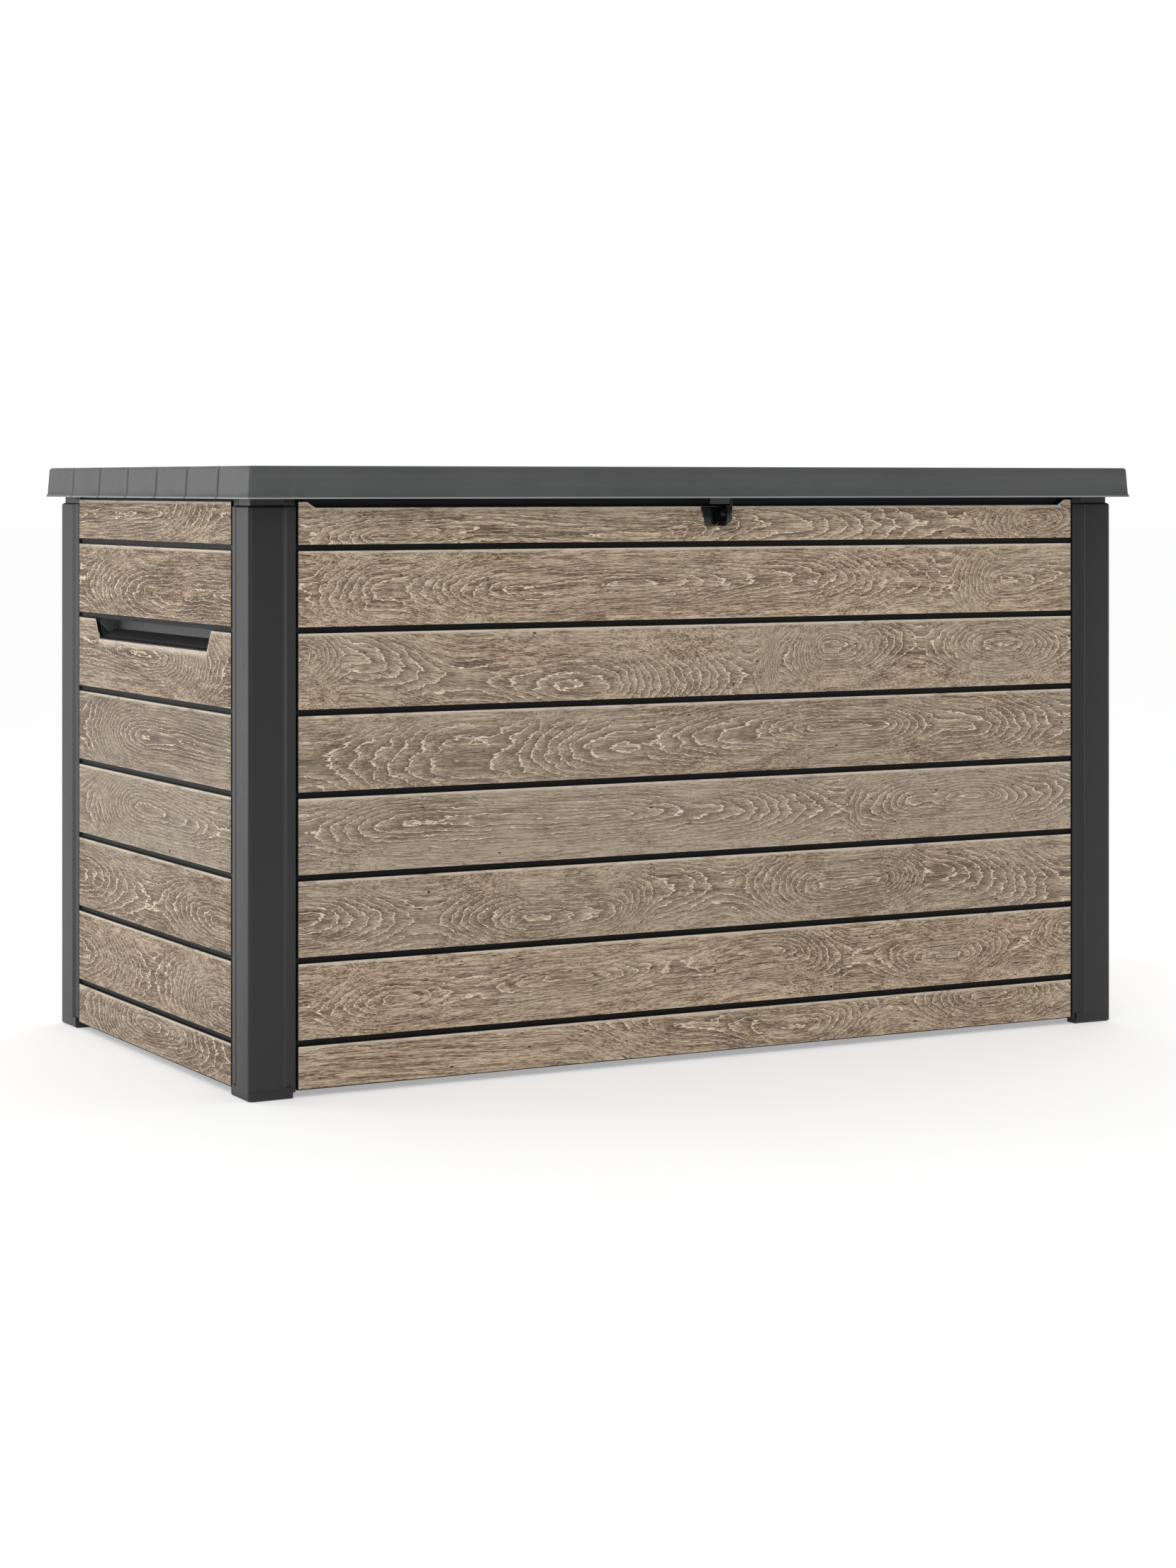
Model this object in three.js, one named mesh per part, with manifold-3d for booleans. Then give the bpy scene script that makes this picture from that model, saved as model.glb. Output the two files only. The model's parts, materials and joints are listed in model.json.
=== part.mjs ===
// Deck storage box: four wood-look resin walls held by L-shaped corner posts, a ribbed floor, and a
// plank-pattern lid on three hinges, held open by two gas struts. Millimetres, +Z up, the front faces -Y,
// and the origin is on the ground under the middle of the lid.

import * as THREE from 'three';
import { mergeVertices } from 'three/addons/utils/BufferGeometryUtils.js';
import Module from 'manifold-3d';

// ---------------------------------------------------------------- driving dimensions
const LID_LENGTH = 1471;
const LID_DEPTH = 825;
const HEIGHT = 860;
const END_OVERHANG = 14;
const FRONT_OVERHANG = 32;
const GAP = 0.3;

const LID = {
  skirt: 45, lip: 3, lipProud: 1.3, draft: 3.5, edge: 5, corner: 4, wall: 4, top: 4,
  planks: 7, groove: 11, grooveDepth: 3.5, grooveBacking: 19, lipFade: 1,
};
const LINER = {
  plate: 3, rib: 2.5, ribDepth: 18, cell: 135, rows: 5, restWall: 4, edgeWall: 4.5, edgeDepth: 10, boss: 14,
};
const POST = {
  leg: 70.5, face: 50, bevel: 7.5, step: 4, skin: 4, radius: 6, core: 5, coreSize: 20, slotStart: 34,
  foot: 65, footHeight: 16, footChamfer: 3, topBelowSkirt: 9, shoulder: 5, shoulderInset: 1.5, neck: 4,
  neckAboveSkirt: 5,
};
const WALL = {
  seam: 6.5, seamDepth: 4, board: 112.44, topBoard: 66.9, shortestBoard: 25, skin: 5.5, rib: 3,
  ribPitch: 130, depth: 22, sideGap: 2.5, bottom: 10, topBelowSkirt: 3, rise: 7,
  rimSetBack: 6, rimWall: 4, rimDrop: 19, boss: 14, bossMargin: 6, bracketMargin: 2,
};
const TONGUE = { thickness: 6, topDrop: 2 };
const NOTCH = { drop: 8, endInset: 14, slope: 12 };
const SHELF = { top: 31, thickness: 4, reach: 12 };
const FLOOR = {
  plate: 3.5, rib: 3, ribDepth: 18, cell: 135, rows: 5, ribSetBack: 2, padSize: 60, padWall: 4, padInset: 60,
};
const GRIP = {
  topWidth: 468, bottomWidth: 436, mouth: 29.5, floorRise: 14, depth: 29, wall: 3, headroom: 37,
  floorDrop: 3, endRoom: 6, splay: 18,
};
const HINGE = {
  spacing: 480, back: 13.5, drop: 10, barrel: 6.5, pin: 2.5, pinRoom: 0.6, knuckle: 30, leaf: 3,
  wallLeafHeight: 46, lidLeafHeight: 41, screwOffset: 18, wallScrewDrop: 28.5, lidScrewRise: 29.7,
};
const STRUT = {
  wallRoom: 27.5, radius: 330, upperRise: 7, swing: 66, tube: 9, bore: 7.5, rod: 4, rodRoom: 0.3,
  pistonRoom: 0.4, pistonLength: 8, stroke: 273, guide: 12, tubeStart: 14, tubeRound: 1.5, cap: 4, eye: 8.5,
  eyeWidth: 9, stud: 4, studEnd: 2, studRoom: 0.7, neck: 5, upperNeck: 20, upperNeckRadius: 6, bracket: 3,
  bracketWidth: 40, bracketHeight: 70, webRoom: 2, webWidth: 28, webDrop: 9, flangeWidth: 48, flangeReach: 22,
};
const LATCH = {
  centre: 2, topWidth: 34, bottomWidth: 20, top: 13, bottom: 41, plate: 3, round: 5, eyeReach: 28, cheek: 4.5,
  cheekInset: 1, hole: 5.2, holeBack: 12, holeDrop: 25, eyeTopDrop: 9.5, eyeSlope: 3.3, eyeFoot: 37,
  eyeRound: 12, screwOffset: 7, screwDrop: 28, footWidth: 40, footDrop: 4, tongueRoom: 2,
};
const SCREW = { head: 4, shank: 1.9, length: 12, headDepth: 2, sides: 8 };

// ---------------------------------------------------------------- derived sizes
const BODY_LENGTH = LID_LENGTH - 2 * END_OVERHANG;
const BODY_DEPTH = LID_DEPTH - 2 * FRONT_OVERHANG;
const HALF_X = BODY_LENGTH / 2;
const HALF_Y = BODY_DEPTH / 2;
const SKIRT_BOTTOM = HEIGHT - LID.skirt;
const WOOD_X = HALF_X - POST.step;
const WOOD_Y = HALF_Y - POST.step;
const INNER_X = WOOD_X - WALL.depth;
const INNER_Y = WOOD_Y - WALL.depth;
const WOOD_TOP = SKIRT_BOTTOM - WALL.topBelowSkirt;
const RIM_TOP = SKIRT_BOTTOM + WALL.rise;
const TOP_SEAM = SKIRT_BOTTOM - WALL.topBoard;
const POST_TOP = SKIRT_BOTTOM - POST.topBelowSkirt;
const POST_DEPTH = POST.step + WALL.depth;
const CAVITY_X = LID_LENGTH / 2 - LID.draft - LID.wall;
const CAVITY_Y = LID_DEPTH / 2 - LID.draft - LID.wall;
const CAVITY_TOP = HEIGHT - LID.top;
const LINER_TOP = HEIGHT - LID.grooveDepth - LID.wall - GAP;
const LINER_BOTTOM = LINER_TOP - LINER.plate - LINER.ribDepth;
const HINGE_Y = HALF_Y + HINGE.back;
const HINGE_Z = SKIRT_BOTTOM - HINGE.drop;
const FRONT_HALF = HALF_X - POST.leg - WALL.sideGap;
const SIDE_HALF = HALF_Y - POST.leg - WALL.sideGap;

// Both ends of a strut lie at one radius from the hinge line, so it turns exactly half as far as the lid.
const upperAngle = Math.PI - Math.asin(STRUT.upperRise / STRUT.radius);
const lowerAngle = upperAngle + THREE.MathUtils.degToRad(STRUT.swing);
const around = (angle) => [
  HINGE_Y + STRUT.radius * Math.cos(angle), HINGE_Z + STRUT.radius * Math.sin(angle),
];
const upperEnd = around(upperAngle);
const lowerEnd = around(lowerAngle);
const closedLength = Math.hypot(upperEnd[0] - lowerEnd[0], upperEnd[1] - lowerEnd[1]);
const strutTilt = Math.atan2(upperEnd[1] - lowerEnd[1], upperEnd[0] - lowerEnd[0]);
const strutX = INNER_X - STRUT.wallRoom;

const COLOURS = {
  graphite: [0x3f4142, 0.55, 0], liner: [0x37393a, 0.6, 0], wood: [0x86745f, 0.7, 0],
  cup: [0x2f3031, 0.6, 0], gloss: [0x0b0b0c, 0.15, 0], steel: [0xa9adb0, 0.3, 1],
  tube: [0x1c1d1f, 0.35, 0.6], zinc: [0x8f9497, 0.4, 1],
};

// ---------------------------------------------------------------- solids
const wasm = await Module();
wasm.setup();

function signedVolume(position, index) {
  const [a, b, c] = [new THREE.Vector3(), new THREE.Vector3(), new THREE.Vector3()];
  let volume = 0;
  for (let i = 0; i < index.length; i += 3) {
    a.fromBufferAttribute(position, index[i]);
    b.fromBufferAttribute(position, index[i + 1]);
    c.fromBufferAttribute(position, index[i + 2]);
    volume += a.dot(b.cross(c));
  }
  return volume;
}

// A closed geometry as a solid: its vertices on a fine grid, so that faces meant to be flush are flush,
// and merged, triangles with no area dropped, and faces pointing out.
const GRID = 1 / 1024;
function solid(geometry) {
  geometry.deleteAttribute('normal');
  geometry.deleteAttribute('uv');
  const { array } = geometry.attributes.position;
  array.forEach((value, i) => { array[i] = Math.round(value / GRID) * GRID; });
  const merged = mergeVertices(geometry, GRID / 2);
  const index = [];
  for (let i = 0; i < merged.index.count; i += 3) {
    const [a, b, c] = [0, 1, 2].map((k) => merged.index.getX(i + k));
    if (a !== b && b !== c && c !== a) index.push(a, b, c);
  }
  if (signedVolume(merged.attributes.position, index) < 0) index.reverse();
  return new wasm.Manifold(new wasm.Mesh({
    numProp: 3,
    vertProperties: new Float32Array(merged.attributes.position.array),
    triVerts: new Uint32Array(index),
  }));
}

const join = (first, ...others) => others.flat().reduce((sum, piece) => sum.add(piece), first);
const cut = (first, ...others) => others.flat().reduce((rest, piece) => rest.subtract(piece), first);

function block([x0, x1], [y0, y1], [z0, z1]) {
  const geometry = new THREE.BoxGeometry(x1 - x0, y1 - y0, z1 - z0);
  return solid(geometry.translate((x0 + x1) / 2, (y0 + y1) / 2, (z0 + z1) / 2));
}

// An outline pushed along one axis. The outline's plane is (y, z) for x, (x, z) for y and (x, y) for z.
function prism(outline, axis, from, to) {
  const shape = outline instanceof THREE.Shape ? outline
    : new THREE.Shape(outline.map(([a, b]) => new THREE.Vector2(a, b)));
  const options = { depth: to - from, bevelEnabled: false, curveSegments: 6 };
  const geometry = new THREE.ExtrudeGeometry(shape, options);
  if (axis === 'x') geometry.rotateX(Math.PI / 2).rotateZ(Math.PI / 2).translate(from, 0, 0);
  if (axis === 'y') geometry.rotateX(Math.PI / 2).translate(0, to, 0);
  if (axis === 'z') geometry.translate(0, 0, from);
  return solid(geometry);
}

// A solid of revolution about the X axis through (y, z), from its [along x, radius] profile.
function turned(profile, y, z, sides = 16) {
  const points = profile.map(([along, radius]) => new THREE.Vector2(radius, along));
  const geometry = new THREE.LatheGeometry(points, sides);
  return solid(geometry.rotateZ(-Math.PI / 2).translate(0, y, z));
}

const bar = (radius, x0, x1, y, z, sides = 16) => (
  turned([[x0, 0], [x0, radius], [x1, radius], [x1, 0]], y, z, sides)
);

// A skin over rings of points, closed by a flat cap at each end. The rings go upwards.
function loft(rings) {
  const count = rings[0].points.length;
  const positions = rings.flatMap(({ z, points }) => points.flatMap(([x, y]) => [x, y, z]));
  const index = [];
  for (let ring = 0; ring < rings.length - 1; ring += 1) {
    for (let i = 0; i < count; i += 1) {
      const [a, b] = [ring * count + i, ring * count + (i + 1) % count];
      index.push(a, b, b + count, a, b + count, a + count);
    }
  }
  const outline = rings[0].points.map(([x, y]) => new THREE.Vector2(x, y));
  const last = (rings.length - 1) * count;
  for (const [a, b, c] of THREE.ShapeUtils.triangulateShape(outline, [])) {
    index.push(a, c, b, last + a, last + b, last + c);
  }
  const geometry = new THREE.BufferGeometry();
  geometry.setAttribute('position', new THREE.Float32BufferAttribute(positions, 3));
  geometry.setIndex(index);
  return solid(geometry);
}

function arcPoints(cx, cy, radius, from, to, steps = 3) {
  return Array.from({ length: steps + 1 }, (_, i) => {
    const angle = THREE.MathUtils.degToRad(from + (to - from) * i / steps);
    return [cx + radius * Math.cos(angle), cy + radius * Math.sin(angle)];
  });
}

// Evenly spaced places between two ends, closer together than the given pitch.
function places(from, to, pitch) {
  const cells = Math.ceil((to - from) / pitch);
  return Array.from({ length: cells - 1 }, (_, i) => from + (to - from) * (i + 1) / cells);
}

const box = new THREE.Group();

// Adds a solid as a named mesh with its colour, at a position, turned about Z by an angle in degrees.
function add(name, piece, colour, { position = [0, 0, 0], turn = 0 } = {}, parent = box) {
  const { vertProperties, triVerts } = piece.getMesh();
  const geometry = new THREE.BufferGeometry();
  geometry.setAttribute('position', new THREE.BufferAttribute(new Float32Array(vertProperties), 3));
  geometry.setIndex(new THREE.BufferAttribute(new Uint32Array(triVerts), 1));
  geometry.computeVertexNormals();
  const [color, roughness, metalness] = COLOURS[colour];
  const mesh = new THREE.Mesh(geometry, new THREE.MeshStandardMaterial({ color, roughness, metalness }));
  mesh.name = name;
  mesh.position.set(...position);
  mesh.rotation.z = THREE.MathUtils.degToRad(turn);
  parent.add(mesh);
}

// A countersunk screw along +Y with its flush head at y = 0, and the hole that takes its shank and head.
function screwSolid(room) {
  const head = SCREW.head + room;
  const shank = SCREW.shank + room;
  const profile = [[0, 0], [0, head], [SCREW.headDepth, shank], [SCREW.length + room, shank],
    [SCREW.length + room, 0]];
  const points = profile.map(([along, radius]) => new THREE.Vector2(radius, along));
  return new THREE.LatheGeometry(points, SCREW.sides);
}
const screw = () => solid(screwSolid(0));
const screwHole = (x, y, z, turn = 0) => solid(
  screwSolid(GAP).rotateZ(THREE.MathUtils.degToRad(turn)).translate(x, y, z),
);

// ---------------------------------------------------------------- corner posts
// One leg lies along +X and the other along +Y. The outer faces meet at the origin.
function postOutline(inset, leg, stepped) {
  const side = stepped
    ? [[POST.face, inset], [POST.face + POST.bevel, POST.step + inset / 2], [leg, POST.step + inset / 2]]
    : [[leg, inset]];
  const mirrored = side.map(([x, y]) => [y, x]).reverse();
  const corner = arcPoints(POST.radius + inset, POST.radius + inset, POST.radius, 180, 270);
  return [...corner, ...side, [leg, POST_DEPTH], [POST_DEPTH, POST_DEPTH], [POST_DEPTH, leg], ...mirrored];
}

function post() {
  const neckTop = SKIRT_BOTTOM + POST.neckAboveSkirt;
  const shaft = loft([
    { z: POST.footHeight, points: postOutline(0, POST.leg, true) },
    { z: POST_TOP - POST.shoulder, points: postOutline(0, POST.leg, true) },
    { z: POST_TOP - POST.shoulderInset, points: postOutline(POST.shoulderInset, POST.leg, true) },
    { z: POST_TOP, points: postOutline(POST.neck, POST.leg, true) },
    { z: neckTop, points: postOutline(POST.neck, POST.leg, true) },
  ]);
  const foot = loft([
    { z: 0, points: postOutline(POST.footChamfer, POST.foot, false) },
    { z: POST.footChamfer, points: postOutline(0, POST.foot, false) },
    { z: POST.footHeight + 1, points: postOutline(0, POST.foot, false) },
  ]);
  const slotWidth = [POST.step + POST.skin, POST.step + POST.skin + TONGUE.thickness + 2 * GAP];
  const slotLength = [POST.slotStart, POST.leg + 1];
  const slotHeight = [POST.footHeight, neckTop + 1];
  const core = [POST.core, POST.core + POST.coreSize];
  return cut(
    join(shaft, foot),
    block(slotLength, slotWidth, slotHeight),
    block(slotWidth, slotLength, slotHeight),
    block(core, core, [POST.core, neckTop + 1]),
  );
}

const cornerPost = post();
add('corner_post_front_left', cornerPost, 'graphite', { position: [-HALF_X, -HALF_Y, 0] });
add('corner_post_front_right', cornerPost, 'graphite', { position: [HALF_X, -HALF_Y, 0], turn: 90 });
add('corner_post_rear_right', cornerPost, 'graphite', { position: [HALF_X, HALF_Y, 0], turn: 180 });
add('corner_post_rear_left', cornerPost, 'graphite', { position: [-HALF_X, HALF_Y, 0], turn: 270 });

// ---------------------------------------------------------------- wall panels
// A panel stands in the XZ plane with its board faces at y = 0, and its depth runs inwards along +Y.
const seams = [];
for (let z = TOP_SEAM; z > WALL.bottom + WALL.shortestBoard; z -= WALL.board) seams.push(z);

// Its section: board faces with their seams, the rim set back above them, and the shelf that holds the floor.
function panelSection() {
  const half = WALL.seam / 2;
  const grooves = [...seams].reverse().flatMap((z) => [
    [0, z - half], [WALL.seamDepth, z - half], [WALL.seamDepth, z + half], [0, z + half],
  ]);
  const shelf = [
    [WALL.depth, SHELF.top], [WALL.depth + SHELF.reach, SHELF.top],
    [WALL.depth + SHELF.reach, SHELF.top - SHELF.thickness], [WALL.depth, SHELF.top - SHELF.thickness],
  ];
  const rim = [[WALL.rimSetBack, WOOD_TOP], [WALL.rimSetBack, RIM_TOP], [WALL.depth, RIM_TOP]];
  return [[0, WALL.bottom], ...grooves, [0, WOOD_TOP], ...rim, ...shelf, [WALL.depth, WALL.bottom]];
}

// Edges of the pockets left between evenly spaced ribs, with a rib along each end too.
function pockets(from, to, pitch, rib) {
  const centres = [from + rib / 2, ...places(from, to, pitch), to - rib / 2];
  return centres.slice(1).map((centre, i) => [centres[i] + rib / 2, centre - rib / 2]);
}

function panel(half) {
  const rimBottom = RIM_TOP - WALL.rimDrop;
  const behindSkin = [WALL.skin, WALL.depth + 1];
  const cells = pockets(-half, half, WALL.ribPitch, WALL.rib).flatMap((across) => [
    block(across, behindSkin, [SHELF.top, rimBottom]),
    block(across, behindSkin, [WALL.bottom + WALL.rib, SHELF.top - SHELF.thickness]),
  ]);
  const rimChannel = block([-half - 1, half + 1], [WALL.rimSetBack + WALL.rimWall, WALL.depth + 1],
    [rimBottom + WALL.rib, RIM_TOP - WALL.rib]);
  const tongueFront = POST.skin + GAP;
  const tongueReach = WALL.sideGap + POST.leg - POST.slotStart - GAP;
  const tongues = [-1, 1].map((side) => block(
    [half - 1, half + tongueReach].map((x) => side * x).sort((a, b) => a - b),
    [tongueFront, tongueFront + TONGUE.thickness],
    [POST.footHeight + GAP, WOOD_TOP - TONGUE.topDrop],
  ));
  return join(cut(prism(panelSection(), 'x', -half, half), cells, rimChannel), tongues);
}

// The middle of the front wall's top edge is a little lower, with a slope at each end.
function notch(half) {
  const [low, high] = [WOOD_TOP - NOTCH.drop, WOOD_TOP + 1];
  const [wide, narrow] = [half - NOTCH.endInset, half - NOTCH.endInset - NOTCH.slope];
  const outline = [[-narrow, low], [narrow, low], [wide, high], [-wide, high]];
  return prism(outline, 'y', -1, WALL.rimSetBack);
}

// The hand grip: a space with a wide low mouth that climbs behind the board above the mouth.
const GRIP_TOP = seams[1] - WALL.seam / 2;
const GRIP_FLOOR = GRIP_TOP - GRIP.mouth;
const GRIP_HALF = GRIP.topWidth / 2 + GRIP.endRoom;
const gripRoof = GRIP_TOP + GRIP.headroom;

function gripSpace() {
  const cupFront = WALL.skin + GAP;
  const back = cupFront + GRIP.depth - 2 * GRIP.wall;
  const climb = prism([
    [-1, GRIP_FLOOR], [back, GRIP_FLOOR + GRIP.floorRise], [back, gripRoof - GRIP.wall],
    [cupFront + GRIP.wall, gripRoof - GRIP.wall], [cupFront + GRIP.wall, GRIP_TOP], [-1, GRIP_TOP],
  ], 'x', -GRIP.topWidth / 2, GRIP.topWidth / 2);
  const front = prism([
    [-GRIP.bottomWidth / 2, GRIP_FLOOR - 1], [GRIP.bottomWidth / 2, GRIP_FLOOR - 1],
    [GRIP.topWidth / 2, GRIP_TOP], [GRIP.topWidth / 2, gripRoof], [-GRIP.topWidth / 2, gripRoof],
    [-GRIP.topWidth / 2, GRIP_TOP],
  ], 'y', -2, WALL.depth * 2);
  const mouthHalf = GRIP.topWidth / 2;
  const backHalf = mouthHalf - GRIP.splay;
  const plan = prism([[-mouthHalf, -2], [mouthHalf, -2], [backHalf, back + 1], [-backHalf, back + 1]],
    'z', 0, HEIGHT);
  return climb.intersect(front).intersect(plan);
}

const GRIP_LIMITS = [[-GRIP_HALF, GRIP_HALF], [GRIP_FLOOR - GRIP.wall - GRIP.floorDrop, gripRoof]];

function gripCup() {
  const front = WALL.skin + GAP;
  return cut(block(GRIP_LIMITS[0], [front, front + GRIP.depth - GRIP.wall], GRIP_LIMITS[1]), gripSpace());
}

// The strut's wall bracket lies against a full-depth boss, which is on one side of the grip.
function endPanel(strutSide) {
  const [across, up] = GRIP_LIMITS.map(([low, high]) => [low - GAP, high + GAP]);
  const room = block(across, [WALL.skin, WALL.depth * 2], up);
  const [y, z] = [strutSide * lowerEnd[0], lowerEnd[1]];
  const [wide, tall] = [STRUT.bracketWidth, STRUT.bracketHeight].map((size) => size / 2 + WALL.bracketMargin);
  const boss = block([y - wide, y + wide], [WALL.skin - 1, WALL.depth], [z - tall, z + tall]);
  return cut(join(panel(SIDE_HALF), boss), room, gripSpace());
}

// ---------------------------------------------------------------- hinges: shared places
const hingeCentres = [-HINGE.spacing, 0, HINGE.spacing];
const hingeScrews = [-HINGE.screwOffset, HINGE.screwOffset];
const WALL_LEAF_SCREW_Z = HINGE_Z - HINGE.wallScrewDrop;
const LID_LEAF_SCREW_Z = HINGE_Z + HINGE.lidScrewRise;
const WALL_LEAF_Y = WOOD_Y + GAP;
const LID_LEAF_Y = CAVITY_Y - GAP;

// ---------------------------------------------------------------- walls in place
const wallLeafHoles = hingeCentres.flatMap((x) => hingeScrews.map((dx) => (
  screwHole(-(x + dx), -(GAP + HINGE.leaf), WALL_LEAF_SCREW_Z)
)));
const latchScrewZ = SKIRT_BOTTOM - LATCH.screwDrop;
const latchScrews = [-1, 1].map((side) => LATCH.centre + side * LATCH.screwOffset);
const latchHoles = latchScrews.map((x) => screwHole(x, -(GAP + LATCH.plate), latchScrewZ));
// A boss behind each group of screws gives the thin skin something to bite on.
const bossAround = (x, reach, z) => block(
  [x - reach - WALL.bossMargin, x + reach + WALL.bossMargin],
  [WALL.skin - 1, WALL.boss],
  [z - WALL.bossMargin, z + WALL.bossMargin],
);
const hingeBosses = hingeCentres.map((x) => bossAround(-x, HINGE.screwOffset, WALL_LEAF_SCREW_Z));
const latchBoss = bossAround(LATCH.centre, LATCH.screwOffset, latchScrewZ);

const frontPanel = cut(join(panel(FRONT_HALF), latchBoss), notch(FRONT_HALF), latchHoles);
const rearPanel = cut(join(panel(FRONT_HALF), hingeBosses), wallLeafHoles);
add('front_panel', frontPanel, 'wood', { position: [0, -WOOD_Y, 0] });
add('rear_panel', rearPanel, 'wood', { position: [0, WOOD_Y, 0], turn: 180 });
const leftEnd = { position: [-WOOD_X, 0, 0], turn: -90 };
const rightEnd = { position: [WOOD_X, 0, 0], turn: 90 };
add('left_panel', endPanel(-1), 'wood', leftEnd);
add('right_panel', endPanel(1), 'wood', rightEnd);
add('handle_cup_left', gripCup(), 'cup', leftEnd);
add('handle_cup_right', gripCup(), 'cup', rightEnd);

// ---------------------------------------------------------------- floor
function floorPanel() {
  const [x, y] = [INNER_X - GAP, INNER_Y - GAP];
  const bottom = SHELF.top + GAP;
  const [ribX, ribY] = [x, y].map((half) => half - SHELF.reach - FLOOR.ribSetBack);
  const ribBottom = bottom - FLOOR.ribDepth;
  const cells = pockets(-ribX, ribX, FLOOR.cell, FLOOR.rib).flatMap((across) => (
    pockets(-ribY, ribY, 2 * ribY / FLOOR.rows, FLOOR.rib).map((along) => (
      block(across, along, [ribBottom - 1, bottom])
    ))
  ));
  // Each pad is a square cup under the floor, open at its top.
  const padBlocks = (shrink, from, to) => [-1, 0, 1].flatMap((i) => [-1, 1].map((j) => {
    const [cx, cy] = [i * (ribX - FLOOR.padInset), j * (ribY - FLOOR.padInset)];
    const side = FLOOR.padSize / 2 - shrink;
    return block([cx - side, cx + side], [cy - side, cy + side], [from, to]);
  }));
  const ribBlock = block([-ribX, ribX], [-ribY, ribY], [ribBottom, bottom + 1]);
  const deck = cut(join(block([-x, x], [-y, y], [bottom, bottom + FLOOR.plate]), ribBlock), cells);
  return cut(
    join(deck, padBlocks(0, 0, bottom + 1)),
    padBlocks(FLOOR.padWall, FLOOR.padWall, bottom + FLOOR.plate + 1),
  );
}
add('floor_panel', floorPanel(), 'liner');

// ---------------------------------------------------------------- lid cover
function rectangle(halfX, halfY, radius) {
  const [x, y] = [halfX - radius, halfY - radius];
  return [
    ...arcPoints(x, y, radius, 0, 90), ...arcPoints(-x, y, radius, 90, 180),
    ...arcPoints(-x, -y, radius, 180, 270), ...arcPoints(x, -y, radius, 270, 360),
  ];
}

const plankPitch = LID_DEPTH / LID.planks;
const grooveLines = Array.from({ length: LID.planks - 1 }, (_, i) => (i + 1) * plankPitch - LID_DEPTH / 2);

function lidCover() {
  const [x, y] = [LID_LENGTH / 2, LID_DEPTH / 2];
  const ring = (z, inset) => ({ z, points: rectangle(x - inset, y - inset, LID.corner) });
  const shell = loft([
    ring(SKIRT_BOTTOM, 0),
    ring(SKIRT_BOTTOM + LID.lip, 0),
    ring(SKIRT_BOTTOM + LID.lip + LID.lipFade, LID.lipProud),
    ring(HEIGHT - LID.edge, LID.draft),
    ring(HEIGHT - LID.edge * 0.3, LID.draft + LID.edge * 0.3),
    ring(HEIGHT, LID.draft + LID.edge),
  ]);
  const cavity = block([-CAVITY_X, CAVITY_X], [-CAVITY_Y, CAVITY_Y], [SKIRT_BOTTOM - 1, CAVITY_TOP]);
  const backings = grooveLines.map((cy) => block(
    [-CAVITY_X - 1, CAVITY_X + 1],
    [cy - LID.grooveBacking / 2, cy + LID.grooveBacking / 2],
    [LINER_TOP + GAP, CAVITY_TOP + 0.5],
  ));
  const halfGroove = LID.groove / 2;
  const endDepth = x - LID.lipProud - LID.draft / 2 - LID.grooveDepth / 2;
  const grooves = grooveLines.flatMap((cy) => [
    block([-x - 1, x + 1], [cy - halfGroove, cy + halfGroove], [HEIGHT - LID.grooveDepth, HEIGHT + 1]),
    block([endDepth, x + 1], [cy - halfGroove, cy + halfGroove], [SKIRT_BOTTOM - 1, HEIGHT + 1]),
    block([-x - 1, -endDepth], [cy - halfGroove, cy + halfGroove], [SKIRT_BOTTOM - 1, HEIGHT + 1]),
  ]);
  return cut(join(cut(shell, cavity), backings), grooves);
}
add('lid_cover', lidCover(), 'graphite');

// ---------------------------------------------------------------- lid liner
// Its edge leaves room behind the skirt for the hinge leaves and the latch tongue.
const LINER_X = CAVITY_X - GAP;
const LEAF_ROOM = HINGE.leaf + 2 * GAP;
const LINER_Y = CAVITY_Y - LEAF_ROOM;

function lidLiner() {
  const underPlate = LINER_TOP - LINER.plate;
  const slab = (halfX, halfY, from, to) => block([-halfX, halfX], [-halfY, halfY], [from, to]);
  const tray = cut(
    slab(LINER_X, LINER_Y, underPlate - LINER.edgeDepth, LINER_TOP),
    slab(LINER_X - LINER.edgeWall, LINER_Y - LINER.edgeWall, 0, underPlate),
  );
  // A wall stands on the middle of the wall rims all round, and a shallower grid of ribs fills it.
  const rimMiddle = (WALL.rimSetBack + WALL.depth) / 2;
  const [restX, restY] = [WOOD_X - rimMiddle + LINER.restWall / 2, WOOD_Y - rimMiddle + LINER.restWall / 2];
  const [gridX, gridY] = [restX - LINER.restWall, restY - LINER.restWall];
  const grid = cut(
    slab(restX, restY, RIM_TOP + GAP, LINER_TOP - 1),
    slab(gridX, gridY, RIM_TOP - 1, LINER_BOTTOM),
  );
  const cells = pockets(-gridX, gridX, LINER.cell, LINER.rib).flatMap((across) => (
    pockets(-gridY, gridY, 2 * gridY / LINER.rows, LINER.rib).map((along) => (
      block(across, along, [RIM_TOP, underPlate])
    ))
  ));
  const leafHoles = hingeCentres.flatMap((x) => hingeScrews.map((dx) => (
    screwHole(x + dx, LINER_Y + GAP, LID_LEAF_SCREW_Z, 180)
  )));
  const bosses = hingeCentres.map((x) => block(
    [x - HINGE.screwOffset - WALL.bossMargin, x + HINGE.screwOffset + WALL.bossMargin],
    [LINER_Y - LINER.boss, LINER_Y - 1],
    [LID_LEAF_SCREW_Z - WALL.bossMargin, LINER_TOP - 1],
  ));
  return cut(join(tray, cut(grid, cells), bosses), leafHoles);
}
add('lid_liner', lidLiner(), 'liner');

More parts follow.
